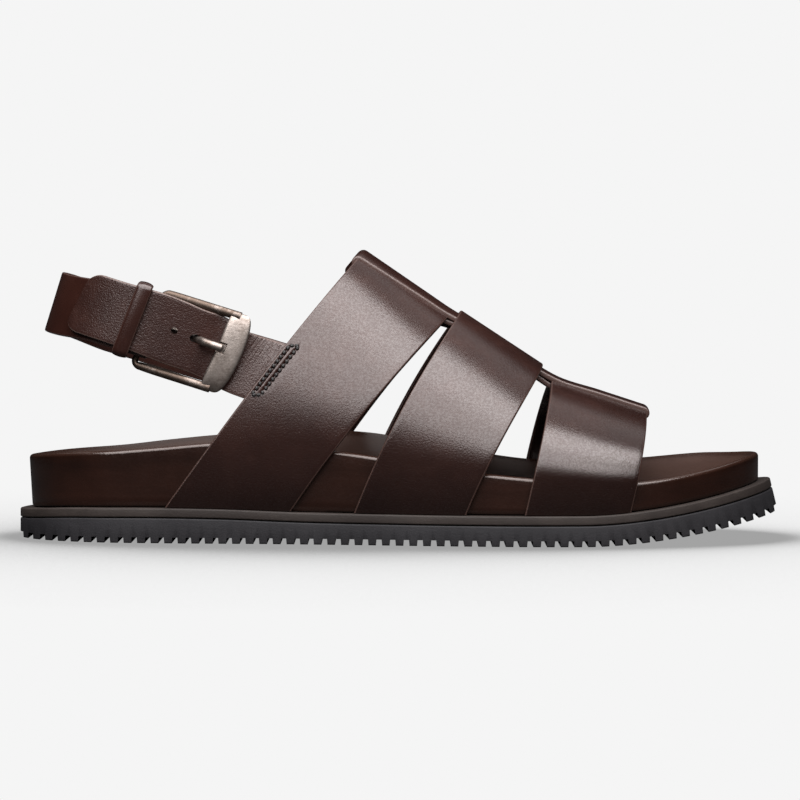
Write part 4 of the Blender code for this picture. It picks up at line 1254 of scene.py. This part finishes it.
    def _centre_point(self, x: float, z: float, lean: float, aside: float) -> tuple[float, float, float]:
        """A point of the centre strap: it drops to each side as the cross straps below it do."""
        last = self.last
        ridge = last.ridge_at(x)
        wall, _, rim = last.wall_at(x, 1 if aside > 0 else -1)
        reach = min(abs(aside / (wall - ridge)), 1)
        arch = (1 - reach**last.arch_width_power) ** (1 / last.arch_height_power)
        drop = self.drop_share * (z - rim) * (1 - arch)
        return x - lean * drop, ridge + aside, z - drop

    def _centre_run(self, name: str, stations: list[tuple], half: float) -> bpy.types.Object:
        """A run of the centre strap with rounded edges."""
        section = Section(2 * half, self.centre_thickness, 0.6 * MM, self.centre_steps)
        profile = section.profile()
        rows = []
        for high_x, high_z, low_x, low_z, lean in stations:
            row = []
            for a, out, _ in profile:
                level = out / self.centre_thickness
                x, z = between(low_x, high_x, level), between(low_z, high_z, level)
                row.append(self._centre_point(x, z, lean, (2 * a - 1) * half))
            rows.append(row)
        points = np.array(rows)
        edge = np.repeat([[e for _, _, e in profile]], len(stations), axis=0)
        marks = {"edge": edge, "crease": np.zeros_like(edge)}
        return cleaned(draped_grid(name, points, marks, (0.14, 4 * half)), fill=True)

    def box_lines(self) -> list[np.ndarray]:
        """The two stitched rows on the rear strap's outer face, each as a row of holes."""
        band = self._strap("rear_strap")
        band.section = Section(band.section.width, self.thickness, self.edge_radius, 41)
        found = []
        for share in self.box_rows:
            line = band.outer(share)
            lateral = line[: len(line) // 2]
            z = lateral[:, 2]
            chosen = lateral[(z > self.box_low - 2 * MM) & (z < self.box_high + 2 * MM)]
            chosen = chosen[np.argsort(chosen[:, 2])]
            heights = np.linspace(self.box_low, self.box_high, self.box_count + 1)
            holes = [np.interp(heights, chosen[:, 2], chosen[:, k]) for k in range(3)]
            found.append(np.stack(holes, axis=1))
        return found

    def build(self) -> None:
        """Builds and dresses the upper's straps."""
        material = LeatherFinish("upper_brown_leather").make()
        for strap in self.last.straps:
            dressed(shaded(self._strap(strap).build(), 60), "upper", Slot.UPPER, material)
        half = self.centre_width / 2
        top = self._centre_run("centre_strap_top", self._upper_stations(), half)
        dressed(shaded(top, 60), "upper", Slot.UPPER, material)
        below = self._centre_run("centre_strap_return", self._lower_stations(), half - self.lower_inset)
        dressed(shaded(below, 60), "upper", Slot.UPPER, material)


@dataclass
class Stitching:
    """Thread stitches along rows of holes."""

    name: str
    thread: float = 0.72 * MM
    gap: float = 0.1 * MM
    slant: float = 0.55 * MM
    fullness: float = 0.7

    def _stitch(self, start: np.ndarray, end: np.ndarray) -> bpy.types.Object:
        """One stitch: a drawn-out ball whose ends dive into the leather."""
        run = Vector(end - start)
        run.length -= self.gap
        nothing_selected()
        bpy.ops.mesh.primitive_uv_sphere_add(segments=8, ring_count=8, radius=1)
        piece = bpy.context.object
        size = (self.thread, self.thread, run.length * 0.5)
        turn = run.to_track_quat("Z", "Y").to_matrix().to_4x4()
        middle = Matrix.Translation(Vector((start + end) / 2))
        for vert in piece.data.vertices:
            vert.co.z = math.copysign(abs(vert.co.z) ** self.fullness, vert.co.z)
            vert.co = Vector((vert.co.x * size[0], vert.co.y * size[1], vert.co.z * size[2]))
        piece.data.transform(middle @ turn)
        return piece

    def build(self, rows: Sequence[np.ndarray], node: str, slot: Slot) -> None:
        """Sews each row of points.

        Args:
            rows: holes in order, one array a row.
            node: the CAD node that carries the thread.
            slot: the carrier's material slot.
        """
        aside = rows[1][0] - rows[0][0]
        aside *= self.slant / np.linalg.norm(aside)
        pieces = [self._stitch(a + aside, b - aside) for row in rows[:2] for a, b in zip(row, row[1:])]
        pieces += [self._stitch(a, b) for row in rows[2:] for a, b in zip(row, row[1:])]
        piece = shaded(joined(self.name, pieces), 80)
        dressed(piece, node, slot, ThreadFinish(self.name + "_thread").make())


@dataclass
class HeelBand:
    """Places beside the heel, and the strap round it with its folded end."""

    last: Last
    height: float = 89.3 * MM
    rear: float = 14.7 * MM
    slope: float = 17.0
    width: float = 23.4 * MM
    thickness: float = 2.2 * MM
    depth: float = 34 * MM
    half_width: float = 28 * MM
    spread: float = 0.05
    spread_ease: float = 15 * MM
    drift: float = 0.033
    rise: float = 2.3 * MM
    drop: float = 1.9 * MM
    rise_run: float = 20 * MM
    drop_run: float = 22 * MM
    fold: float = 16 * MM
    end: float = 99 * MM
    tuck_start: float = 68 * MM
    tuck_end: float = 82 * MM
    tuck_ease: float = 1.1
    pivot: float = 37 * MM
    pivot_room: float = 0.45 * MM
    gauge: float = 2.4 * MM
    buckle_lean: float = 0.115
    slot_place: float = 3.9 * MM
    slot_half: float = 1.95 * MM
    slot_reach: float = 3.4 * MM
    edge_radius: float = 0.6 * MM
    fold_along: tuple = (
        # back, inward
        (0.00, 2.00),
        (0.20, 1.35),
        (0.45, 0.45),
        (1.00, 0.25),
    )

    def __post_init__(self) -> None:
        """Reads the fold's table."""
        self.fold_in = column(self.fold_along, 1)

    def reference(self, u: float) -> tuple[float, float, float]:
        """Half width of the inner face at u, and its outward direction in u and across."""
        if u < self.depth:
            cosine = 1 - u / self.depth
            sine = math.sqrt(1 - cosine**2)
            half = self.half_width * sine
            normal = (-self.half_width * cosine, self.depth * sine)
        else:
            past = u - self.depth
            root = math.hypot(past, self.spread_ease)
            half = self.half_width + self.spread * (root - self.spread_ease)
            normal = (-self.spread * past / root, 1)
        size = math.hypot(*normal)
        return half, normal[0] / size, normal[1] / size

    def beside(self, u: float, out: float, up: float, side: int = -1) -> tuple[float, float, float]:
        """A point beside the heel, in the heel strap's slope."""
        half, normal_u, normal_out = self.reference(u)
        along = u + normal_u * out
        across = side * (half + normal_out * out) - self.drift * along
        slope = math.radians(self.slope)
        x = self.rear - self.last.length / 2 + along * math.cos(slope) + up * math.sin(slope)
        z = self.height - along * math.sin(slope) + up * math.cos(slope)
        return x, across, z

    def tucked(
        self, u: float, out: float, up: float, side: int, thickness: float
    ) -> tuple[float, float, float]:
        """A point that goes from the heel's side in under the rear strap."""
        x, y, z = self.beside(u, out, up, side)
        share = ease(self.tuck_start, self.tuck_end, u)
        if share == 0:
            return x, y, z
        face = self.last.strap_face("rear_strap", x, z, side)
        return x, between(y, face - side * (self.last.gap + thickness) * self.tuck_ease, share), z

    def fold_out(self, u: float) -> float:
        """How far out the folded end's near face lies."""
        return -self.fold_in((self.pivot - u) / self.fold) * (self.gauge / 2 + self.pivot_room)

    def arc_places(self, first: float, last: float, step: float) -> list[float]:
        """Places along the strap between two angles round the heel."""
        count = max(1, round((last - first) / step))
        angles = [math.radians(between(first, last, k / count)) for k in range(count + 1)]
        return [self.depth * (1 - math.cos(angle)) for angle in angles]

    def stations(self) -> list[tuple[float, float, int]]:
        """Place, distance out and side of each line across the strap, from its medial end."""
        straight = [between(self.end, self.depth, k / 44) for k in range(44)]
        found = [(u, 0.0, 1) for u in straight + self.arc_places(0, 90, 3)[::-1]]
        found += [(u, 0.0, -1) for u in self.arc_places(0, 90, 3)[1:]]
        turn = self.gauge / 2 + self.pivot_room
        for angle in range(90, -91, -12):
            cosine, sine = spin(angle)
            found.append((self.pivot + turn * cosine, turn * (sine - 1), -1))
        for k in range(1, 19):
            u = self.pivot - (0.08 + 0.92 * k / 18) * self.fold
            found.append((u, self.fold_out(u), -1))
        return found

    def lift(self, u: float, side: int) -> float:
        """How far the strap stands over its slope: up at the lateral side, down at the medial one."""
        if side < 0:
            return self.rise * ease(0, self.rise_run, u)
        return -self.drop * ease(0, self.drop_run, u)

    def leaning(self, u: float, up: float) -> float:
        """How far forward the buckle leans at a height, less behind the pivot bar."""
        return self.buckle_lean * (up - self.rise) * ease(self.pivot - 0.4 * self.fold, self.pivot, u)

    def _line(self, share: float) -> np.ndarray:
        """One line along the strap at a share of its width."""
        found = []
        for u, out, side in self.stations():
            lift = self.lift(u, side)
            up = lift + (share - 0.5) * self.width
            if side > 0 and u > self.depth:
                found.append(self.tucked(u, out, up, side, self.thickness))
            elif side > 0:
                found.append(self.beside(u, out, up, side))
            else:
                found.append(self.beside(u + self.leaning(u, up), out, up, side))
        return np.array(found)

    def build(self) -> None:
        """Builds and dresses the heel strap."""
        section = Section(self.width, self.thickness, self.edge_radius, 20)
        inside = self.beside(self.depth, -self.half_width, 0)
        band = Band("heel_band", section, self._line, inside)
        finish = LeatherFinish("heel_strap_brown_leather", roughness=0.22, grain_depth=0.00004)
        piece = band.build()
        nothing_selected()
        bpy.ops.mesh.primitive_cube_add(size=1)
        slot = bpy.context.object
        reach = self.gauge / 2 + self.slot_reach
        for vert in slot.data.vertices:
            along = self.pivot + (2 * reach if vert.co.x > 0 else -reach)
            out = 3 * reach if vert.co.z > 0 else -4 * reach
            vert.co = Vector(self.beside(along, out, self.slot_place + 2 * self.slot_half * vert.co.y))
        cut_out(piece, "Prong_slot", [cleaned(slot)])
        dressed(shaded(piece, 60), "heel_strap", Slot.HEEL_STRAP, finish.make())


@dataclass
class Tab:
    """The buckle's strap, from under the rear strap to its rounded tip on the heel strap."""

    band: HeelBand
    tip: float = 11 * MM
    width: float = 24 * MM
    thickness: float = 2.2 * MM
    corner: float = 4.5 * MM
    lean: float = 0.16
    lean_end: float = 30 * MM
    hole: float = 2.6 * MM
    hole_pitch: float = 9.3 * MM
    prong_offset: float = 3.9 * MM
    edge_radius: float = 0.6 * MM
    crease_slant: float = 0.35
    crease_place: float = -23 * MM
    crease_run: float = 17 * MM
    crease_gain: float = 1.3
    worn: Colour = (0.0500, 0.0240, 0.0190)
    worn_edge: Colour = (0.1300, 0.0850, 0.0720)
    tab_along: tuple = (
        # along, out, rise, width
        (0.25, 1.14, 0.162, 0.990),
        (0.68, 1.14, 0.162, 0.990),
        (0.92, 1.27, 0.162, 1.010),
        (1.09, 1.25, 0.155, 1.033),
        (1.30, 0.90, 0.133, 1.033),
        (1.51, 0.30, 0.108, 1.005),
        (1.69, -0.50, 0.085, 1.040),
        (1.82, -0.55, 0.035, 1.035),
        (1.97, -0.55, -0.017, 1.000),
        (2.29, -0.45, -0.046, 0.980),
        (2.76, -0.30, -0.055, 0.980),
    )

    def __post_init__(self) -> None:
        """Reads the tab's table."""
        self._out = column(self.tab_along, 1)
        self._rise = column(self.tab_along, 2)
        self._span = column(self.tab_along, 3)

    def out(self, u: float) -> float:
        """How far out the tab's inner face lies."""
        return self._out(u / self.band.pivot) * self.thickness

    def rise(self, u: float) -> float:
        """How high the tab's middle line lies."""
        return self._rise(u / self.band.pivot) * self.width

    def half(self, u: float) -> float:
        """Half the tab's width, less at its rounded tip."""
        half = self._span(u / self.band.pivot) * self.width / 2
        into = self.corner - (u - self.tip)
        if into <= 0:
            return half
        return half - self.corner + math.sqrt(max(self.corner**2 - into**2, 0))

    def _stations(self) -> list[float]:
        """Places along the tab."""
        band = self.band
        corner = [self.tip + self.corner * (1 - math.cos(math.radians(a))) for a in range(0, 91, 9)]
        first = math.degrees(math.acos(1 - corner[-1] / band.depth))
        straight = [between(band.depth, band.end, k / 60) for k in range(1, 61)]
        return corner + band.arc_places(first, 90, 2.5)[1:] + straight

    def _line(self, share: float) -> np.ndarray:
        """One line along the tab at a share of its width."""
        found = []
        across = 2 * share - 1
        for u in self._stations():
            half = self.half(u)
            lean = self.lean * across * half * (1 - ease(self.tip, self.lean_end, u))
            up = self.rise(u) + across * half
            found.append(self.band.tucked(u + lean, self.out(u), up, -1, self.thickness))
        return np.array(found)

    def _creases(self, across: np.ndarray, points: np.ndarray) -> np.ndarray:
        """Where fine creases cross the tab: between the buckle and the rear strap."""
        slanted = points[:, 0] + self.crease_slant * points[:, 2]
        return np.clip(self.crease_gain * bump(slanted, self.crease_place, self.crease_run), 0, 1)

    def peg(self, u: float, up: float, long: float, wide: float, low: float) -> bpy.types.Object:
        """A cutter into the tab at u and up, with its half sizes along and across and its depth's level."""
        nothing_selected()
        bpy.ops.mesh.primitive_cylinder_add(vertices=28, radius=1, depth=1)
        piece = bpy.context.object
        for vert in piece.data.vertices:
            out = self.out(u) + between(low, 3 * self.thickness, vert.co.z + 0.5)
            vert.co = Vector(self.band.beside(u + vert.co.x * long, out, up + vert.co.y * wide))
        return cleaned(piece)

    def build(
        self, crossing: tuple[float, float], prong_up: float, prong_gauge: float, prong_wide: float
    ) -> None:
        """Builds and dresses the tab.

        Args:
            crossing: where the prong's middle goes in and out of the tab.
            prong_up: how high it goes through.
            prong_gauge: the prong's thickness.
            prong_wide: its width as a share of that.
        """
        band = self.band
        section = Section(self.width, self.thickness, self.edge_radius, 24)
        inside = band.beside(band.pivot, -band.half_width, 0)
        strap = Band("buckle_strap", section, self._line, inside, crease=self._creases)
        piece = strap.build()
        room = prong_gauge / 2 * prong_wide + self.band.last.gap
        gap = self.band.last.gap
        half_long = (crossing[1] - crossing[0]) / 2 + prong_gauge / 2 * math.sqrt(2) + gap
        middle = (crossing[0] + crossing[1]) / 2
        pegs = [self.peg(middle, prong_up, half_long, room, -2 * self.thickness)]
        half = self.hole / 2
        pegs.append(self.peg(middle - self.hole_pitch, self.prong_offset, half, half, -0.1 * self.thickness))
        cut_out(piece, "Hole", pegs)
        colours = {"worn": self.worn, "edge": self.worn_edge}
        finish = LeatherFinish("tab_brown_leather", **colours, roughness=0.32, grain_depth=0.00019)
        dressed(shaded(piece, 50), "buckle_tab", Slot.TAB, finish.make())


@dataclass
class Keeper:
    """The loop round the heel strap, its folded end and the tab."""

    band: HeelBand
    tab: Tab
    behind: float = 6 * MM
    width: float = 5.3 * MM
    thickness: float = 1.1 * MM
    corner: float = 1.2 * MM
    room: float = 0.62 * MM
    lean: float = 0.065
    skew: float = 1.0 * MM
    dome: float = 0.45 * MM

    def _ring(self, u: float, out: float) -> list[tuple[float, float]]:
        """A rounded rectangle round the layers, moved out, as out and up."""
        band, tab = self.band, self.tab
        low_out = band.fold_out(u) - band.thickness - self.room
        high_out = tab.out(u) + tab.thickness + self.room
        low_up = band.rise - band.width / 2 - self.room
        high_up = tab.rise(u) + tab.width / 2 + self.room
        r = self.corner
        left, right, bottom, top = low_out + r, high_out - r, low_up + r, high_up - r
        found = []
        for number, (across, up) in enumerate(((right, top), (left, top), (left, bottom), (right, bottom))):
            for turn in range(0, 91, 15):
                cosine, sine = spin(90 * number + turn)
                found.append((across + (r + out) * cosine, up + (r + out) * sine))
        return found

    def build(self) -> None:
        """Builds and dresses the keeper."""
        place = self.band.pivot - self.behind
        section = Section(self.width, self.thickness, 0.5 * MM, 11, 3)
        rows = []
        for a, out, _ in section.profile():
            u = place + (a - 0.5) * self.width
            if out > self.thickness / 2:
                out += self.dome * (1 - (2 * a - 1) ** 2)
            row = []
            for across, up in self._ring(u, out):
                back = self.skew * ease(self.tab.thickness, -self.tab.thickness, across)
                lean = self.lean * (up - self.tab.rise(u))
                row.append(self.band.beside(u + lean - back, across, up))
            rows.append(row + row[:1])
        edge = np.repeat([[e] for _, _, e in section.profile()], len(rows[0]), axis=1)
        marks = {"edge": edge, "crease": np.zeros_like(edge)}
        piece = cleaned(draped_grid("leather_keeper", np.array(rows), marks, (0.013, 0.08)))
        finish = LeatherFinish("keeper_brown_leather", roughness=0.22, grain_depth=0.00003)
        dressed(shaded(piece, 60), "keeper", Slot.KEEPER, finish.make())


@dataclass
class Buckle:
    """The square frame with its bowed plate, and the prong."""

    band: HeelBand
    tab: Tab
    length: float = 36 * MM
    span: float = 31.4 * MM
    rise: float = 1.7 * MM
    corner: float = 2.0 * MM
    plate_width: float = 8.7 * MM
    plate_thickness: float = 2.4 * MM
    plate_bow: float = 0.6 * MM
    plate_sweep: float = 1.3 * MM
    plate_spread: float = 0.14
    plate_fall: float = 0.9 * MM
    arm_tall: float = 1.4
    prong_gauge: float = 2.4 * MM
    prong_wide: float = 1.3
    prong_reach: float = 11.3 * MM
    prong_drop: float = 0.9 * MM
    prong_sink: float = 0.7 * MM
    notch: float = 1.25 * MM
    notch_half: float = 1.9 * MM
    notch_end: tuple[float, float] = (0.105, 0.156)
    # Low rub paints shade into the frame's wire.
    wire_rub_and_painted_shade: float = 0.1
    prong_rub: float = 0.7

    @property
    def plate_place(self) -> float:
        """Where the plate's middle lies along the strap."""
        return self.band.pivot + self.length - self.plate_width / 2 - self.band.gauge / 2

    @property
    def plate_out(self) -> float:
        """How far out the plate's middle lies, clear of the tab below it."""
        face = self.tab.out(self.plate_place) + self.tab.thickness
        return face + self.band.last.gap + self.plate_thickness / 2 + self.plate_bow

    @property
    def crossing(self) -> tuple[float, float]:
        """Where the prong's middle goes in and out of the tab."""
        middle = self.plate_place - self.prong_reach
        return middle - self.tab.thickness / 2, middle + self.tab.thickness / 2

    def _tube(
        self, name: str, points: list[tuple], thick: Sequence[float], wide: Sequence[float], rub: float
    ) -> bpy.types.Object:
        """An oval bar through the points.

        Args:
            name: the piece's name.
            points: the bar's middle line.
            thick: its half size outwards from the strap at each point.
            wide: its half size square to that at each point.
            rub: how bright it is, 0 to 1; low values paint shade into its colour.

        Returns:
            The closed bar.
        """
        path = np.array(points)
        tangent = np.gradient(path, axis=0)
        tangent /= np.linalg.norm(tangent, axis=1)[:, None]
        foot, head = (np.array(self.band.beside(self.band.pivot, 0, up)) for up in (0, MM))
        side = (head - foot) / MM
        angles = np.linspace(0, 2 * math.pi, 21)
        rows = []
        for place, way, half_thick, half_wide in zip(path, tangent, thick, wide):
            side = side - way * (side @ way)
            side /= np.linalg.norm(side)
            other = np.cross(way, side)
            row = [place + half_wide * side * math.cos(a) + half_thick * other * math.sin(a) for a in angles]
            rows.append(row)
        marks = {"rub": np.full((len(rows), len(angles)), rub)}
        return cleaned(draped_grid(name, np.array(rows), marks), fill=True)

    def _frame_path(self) -> list[tuple]:
        """The wire of the frame, from the plate along one arm, round the pivot bar and back."""
        band = self.band
        half = (self.span - band.gauge) / 2
        front, rear, corner = self.plate_place, band.pivot, self.corner
        side = [(between(front, rear, k / 16), half) for k in range(15)]
        side.append((rear + corner, half))
        for angle in range(10, 91, 10):
            cosine, sine = spin(angle)
            side.append((rear + corner * (1 - sine), half - corner * (1 - cosine)))
        bar = [(rear, between(half - corner, corner - half, k / 12)) for k in range(1, 12)]
        path = side + bar + [(u, -up) for u, up in reversed(side)]
        low = -(band.gauge / 2 + band.pivot_room)
        high = self.plate_out - self.plate_bow
        found = []
        for u, up in path:
            out = between(low, high, (u - rear) / (front - rear))
            found.append(band.beside(u + band.buckle_lean * up, out, self.rise + up))
        return found

    def _plate(self) -> bpy.types.Object:
        """The wide front bar: a bowed plate with rounded corners and a notch for the prong's tip."""
        band = self.band
        rows = []
        for share in np.sin(np.linspace(-0.5, 0.5, 141) * math.pi) * 0.997:
            wide = self.plate_width / 2 * (1 - abs(share) ** 6) ** 0.25
            wide *= 1 + self.plate_spread * (1 - share**2)
            thick = self.plate_thickness / 2 * (1 - abs(share) ** 12) ** 0.25
            up = share * self.span / 2
            aside = abs(self.rise + up - self.tab.prong_offset + self.prong_drop)
            recess = 1 - ease(0.88 * self.notch_half, 1.08 * self.notch_half, aside)
            sweep = self.plate_sweep * (1 - share**2)
            row = []
            for angle in range(0, 361, 3):
                cosine, sine = spin(angle)
                rest = self.notch * recess * ease(*self.notch_end, -cosine)
                u = self.plate_place + sweep + wide * math.copysign(abs(cosine) ** 0.5, cosine)
                lift = thick * math.copysign(abs(sine) ** 0.7, sine) - rest * max(sine, 0)
                fall = self.plate_bow * share**2 + self.plate_fall * abs(share) ** 5 * max(sine, 0)
                out = self.plate_out - fall + lift
                row.append(band.beside(u + band.buckle_lean * up, out, self.rise + up))
            rows.append(row)
        rub = np.full((len(rows), len(rows[0])), 1.0)
        return cleaned(draped_grid("plate", np.array(rows), {"rub": rub}), fill=True)

    def prong_up(self, u: float) -> float:
        """Where the prong lies across the strap: it swings down a little towards its tip."""
        return self.tab.prong_offset - self.prong_drop * ease(self.band.pivot, self.plate_place, u)

    def _prong_points(self) -> tuple[list[tuple], list[float]]:
        """The prong's middle line and its distance from the tip at each point.

        It is hooked round the pivot bar, comes up through the tab and lies on the plate.
        """
        band, tab, gauge = self.band, self.tab, self.prong_gauge
        turn = band.gauge / 2 + band.last.gap + gauge / 2
        pivot_out = -(band.gauge / 2 + band.pivot_room)
        path = []
        for angle in range(50, 271, 11):
            cosine, sine = spin(angle)
            path.append((band.pivot + turn * cosine, pivot_out + turn * sine))
        start, end = self.crossing
        under = tab.out(start) - band.last.gap - gauge
        top = self.plate_out + self.plate_thickness / 2 + band.last.gap + gauge / 2
        ends = [
            (band.pivot + turn, pivot_out - turn),
            (between(band.pivot, start, 0.6), between(pivot_out - turn, under, 0.6)),
            (start - gauge, under),
            (start, tab.out(start) - band.last.gap),
            (end, tab.out(start) - band.last.gap + end - start),
            (end + gauge * 0.65, tab.out(end) + tab.thickness + gauge * 0.9),
            (between(end, self.plate_place, 0.7), top - 0.6 * self.prong_sink),
            (self.plate_place - self.plate_width * 0.1, top - self.prong_sink),
        ]
        table = np.array(path + ends)
        places = np.concatenate([[0], np.cumsum(np.linalg.norm(np.diff(table, axis=0), axis=1))])
        along, out = smooth_curve(places, table[:, 0]), smooth_curve(places, table[:, 1])
        found = [between(a, b, k / 4) for a, b in zip(places, places[1:-1]) for k in range(4)]
        found += list(np.linspace(places[-2], places[-1] - gauge / 2, 6, endpoint=False))
        found += [places[-1] - gauge / 2 * spin(angle)[0] for angle in range(0, 91, 10)]
        points = [band.beside(along(p), out(p), self.prong_up(along(p))) for p in found]
        return points, [places[-1] - p for p in found]

    def build(self) -> None:
        """Builds and dresses the frame and the prong."""
        wire = self._frame_path()
        half = self.band.gauge / 2
        count = len(wire)
        arms = [ease(count * 0.16, count * 0.3, abs(k - count / 2)) for k in range(count)]
        tall = [half * between(1.0, self.arm_tall, share) for share in arms]
        frame = self._tube("frame_wire", wire, [half] * count, tall, self.wire_rub_and_painted_shade)
        frame = joined("buckle_frame_dressed", [frame, self._plate()])
        nickel = NickelFinish("antique_nickel")
        dressed(shaded(frame, 50), "buckle_frame", Slot.FRAME, nickel.make())
        points, left = self._prong_points()
        half = self.prong_gauge / 2
        tip = 0.0004
        ends = [math.sqrt(max(1 - max(1 - d / half, 0) ** 2, tip)) for d in left]
        reach = self.prong_reach
        spread = [between(1, self.prong_wide, ease(2.1 * reach, 1.6 * reach, d)) for d in left]
        wide = [half * end * share for end, share in zip(ends, spread)]
        prong = self._tube("buckle_prong_dressed", points, [half * end for end in ends], wide, self.prong_rub)
        dressed(shaded(prong, 50), "buckle_prong", Slot.PRONG, NickelFinish("prong_antique_nickel").make())


@dataclass
class Studio:
    """Pale floor and backdrop, soft lights and the camera."""

    aim: tuple[float, float, float] = (0.0, 0.0, 52.5 * MM)
    distance: float = 1.6
    elevation: float = 2.0
    roll: float = 0.17
    frame_width: float = 305.84 * MM
    sensor: float = 36.0
    backdrop: Colour = (0.913, 0.913, 0.913)
    room: float = 0.02
    shade_reach: float = 0.3
    shade_gain: float = 4.3
    shade_floor: float = 0.4
    bounce: Colour = (0.03, 0.03, 0.03)
    lights: tuple = (
        # name, spot, size, power, aim
        ("overhead", (0.0, -0.57, 1.39), (2.2, 0.82), 51.0, (0.0, 0.0, 0.05)),
        ("front_high", (0.0, -1.3, 0.98), (2.4, 0.96), 45.0, (0.0, 0.0, 0.06)),
        ("top_fill", (0.0, 0.55, 1.35), (2.0, 0.9), 5.0, (0.0, 0.0, 0.05)),
    )

    def _camera(self) -> None:
        """The camera, at the side and a little above."""
        rise = math.radians(self.elevation)
        spot = Vector(self.aim) + self.distance * Vector((0, -math.cos(rise), math.sin(rise)))
        nothing_selected()
        bpy.ops.object.camera_add(location=spot)
        camera = bpy.context.object
        camera.name = "studio_camera"
        look = (Vector(self.aim) - spot).to_track_quat("-Z", "Y").to_matrix()
        turn = look @ Matrix.Rotation(math.radians(self.roll), 3, "Z")
        camera.rotation_euler = turn.to_euler()
        camera.data.sensor_width = self.sensor
        camera.data.lens = self.sensor * self.distance / self.frame_width
        camera.data.clip_start = 0.01
        camera.data.clip_end = 100
        bpy.context.scene.camera = camera

    def _light(self, name: str, spot: tuple, size: tuple[float, float], power: float, aim: tuple) -> None:
        """A soft rectangular light at a spot, turned to an aim."""
        nothing_selected()
        bpy.ops.object.light_add(type="AREA", location=spot)
        light = bpy.context.object
        light.name = name
        light.data.shape = "RECTANGLE"
        light.data.size, light.data.size_y = size
        light.data.energy = power
        light.rotation_euler = (Vector(aim) - Vector(spot)).to_track_quat("-Z", "Y").to_euler()

    def _floor(self) -> None:
        """A wide pale floor that meets the backdrop without a line, with a painted shadow that darkens it
        round the sole.
        """
        nothing_selected()
        bpy.ops.mesh.primitive_circle_add(vertices=96, radius=60, fill_type="NGON", location=(0, 0, 0))
        floor = bpy.context.object
        floor.name = "studio_floor"
        graph = Graph("pale_floor")
        tree = graph.tree
        sockets = {"Distance": self.shade_reach}
        # Painted shadow: ambient occlusion, not the lamps, darkens the glowing floor round the sole.
        painted_shadow_occlusion = graph.add("ShaderNodeAmbientOcclusion", {"samples": 24}, sockets, "AO")
        lit = (painted_shadow_occlusion * self.shade_gain + (1.05 - self.shade_gain)).clamped()
        tone = graph.mix(lit * (1 - self.shade_floor) + self.shade_floor, (0.0, 0.0, 0.0), self.backdrop)
        graph.set(Base_Color=(0.0, 0.0, 0.0, 1.0), Roughness=1.0, Specular_IOR_Level=0.0)
        graph.set(Emission_Color=tone, Emission_Strength=1.0)
        dim = graph.add("ShaderNodeBsdfDiffuse", sockets={"Color": (*self.bounce, 1.0)}, output="BSDF")
        seen = graph.add("ShaderNodeLightPath", output="Is Camera Ray")
        shader = Wire(graph, graph.shader.outputs[0])
        mixed = graph.add("ShaderNodeMixShader", sockets={0: seen, 1: dim, 2: shader}, output="Shader")
        end = next(n for n in tree.nodes if n.type == "OUTPUT_MATERIAL")
        tree.links.new(mixed.socket, end.inputs["Surface"])
        floor.data.materials.append(graph.material)

    def _world(self) -> None:
        """A pale backdrop to look at, and a softer room for light and reflections."""
        world = bpy.data.worlds.new("studio_room")
        bpy.context.scene.world = world
        world.use_nodes = True
        tree = world.node_tree
        backdrop = tree.nodes["Background"]
        backdrop.inputs["Color"].default_value = (*self.backdrop, 1)
        room = tree.nodes.new("ShaderNodeBackground")
        room.inputs["Strength"].default_value = self.room
        path = tree.nodes.new("ShaderNodeLightPath")
        mixed = tree.nodes.new("ShaderNodeMixShader")
        tree.links.new(path.outputs["Is Camera Ray"], mixed.inputs[0])
        tree.links.new(room.outputs[0], mixed.inputs[1])
        tree.links.new(backdrop.outputs[0], mixed.inputs[2])
        tree.links.new(mixed.outputs[0], tree.nodes["World Output"].inputs["Surface"])

    def build(self) -> None:
        """Sets up the whole studio."""
        self._floor()
        self._world()
        for light in self.lights:
            self._light(*light)
        self._camera()
        view = bpy.context.scene.view_settings
        view.view_transform = "Standard"
        view.look = "None"


def main() -> None:
    """Builds the sandal piece by piece over its frame."""
    logging.basicConfig(level=logging.INFO, format="%(name)s: %(message)s")
    for name in ("Cube", "Light", "Camera"):
        if name in bpy.data.objects:
            bpy.data.objects.remove(bpy.data.objects[name])
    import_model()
    nothing_selected()
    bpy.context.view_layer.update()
    last = Last()
    Sole(last).build()
    Footbed(last).build()
    upper = Upper(last)
    upper.build()
    rows = upper.box_lines()
    ends = [np.stack([rows[0][k], (rows[0][k] + rows[1][k]) / 2, rows[1][k]]) for k in (0, -1)]
    Stitching("tab_stitching").build([*rows, *ends], "upper", Slot.UPPER)
    band = HeelBand(last)
    band.build()
    tab = Tab(band)
    buckle = Buckle(band, tab)
    prong_up = buckle.prong_up(sum(buckle.crossing) / 2)
    tab.build(buckle.crossing, prong_up, buckle.prong_gauge, buckle.prong_wide)
    Keeper(band, tab).build()
    buckle.build()
    Studio().build()


if __name__ == "__main__":
    main()
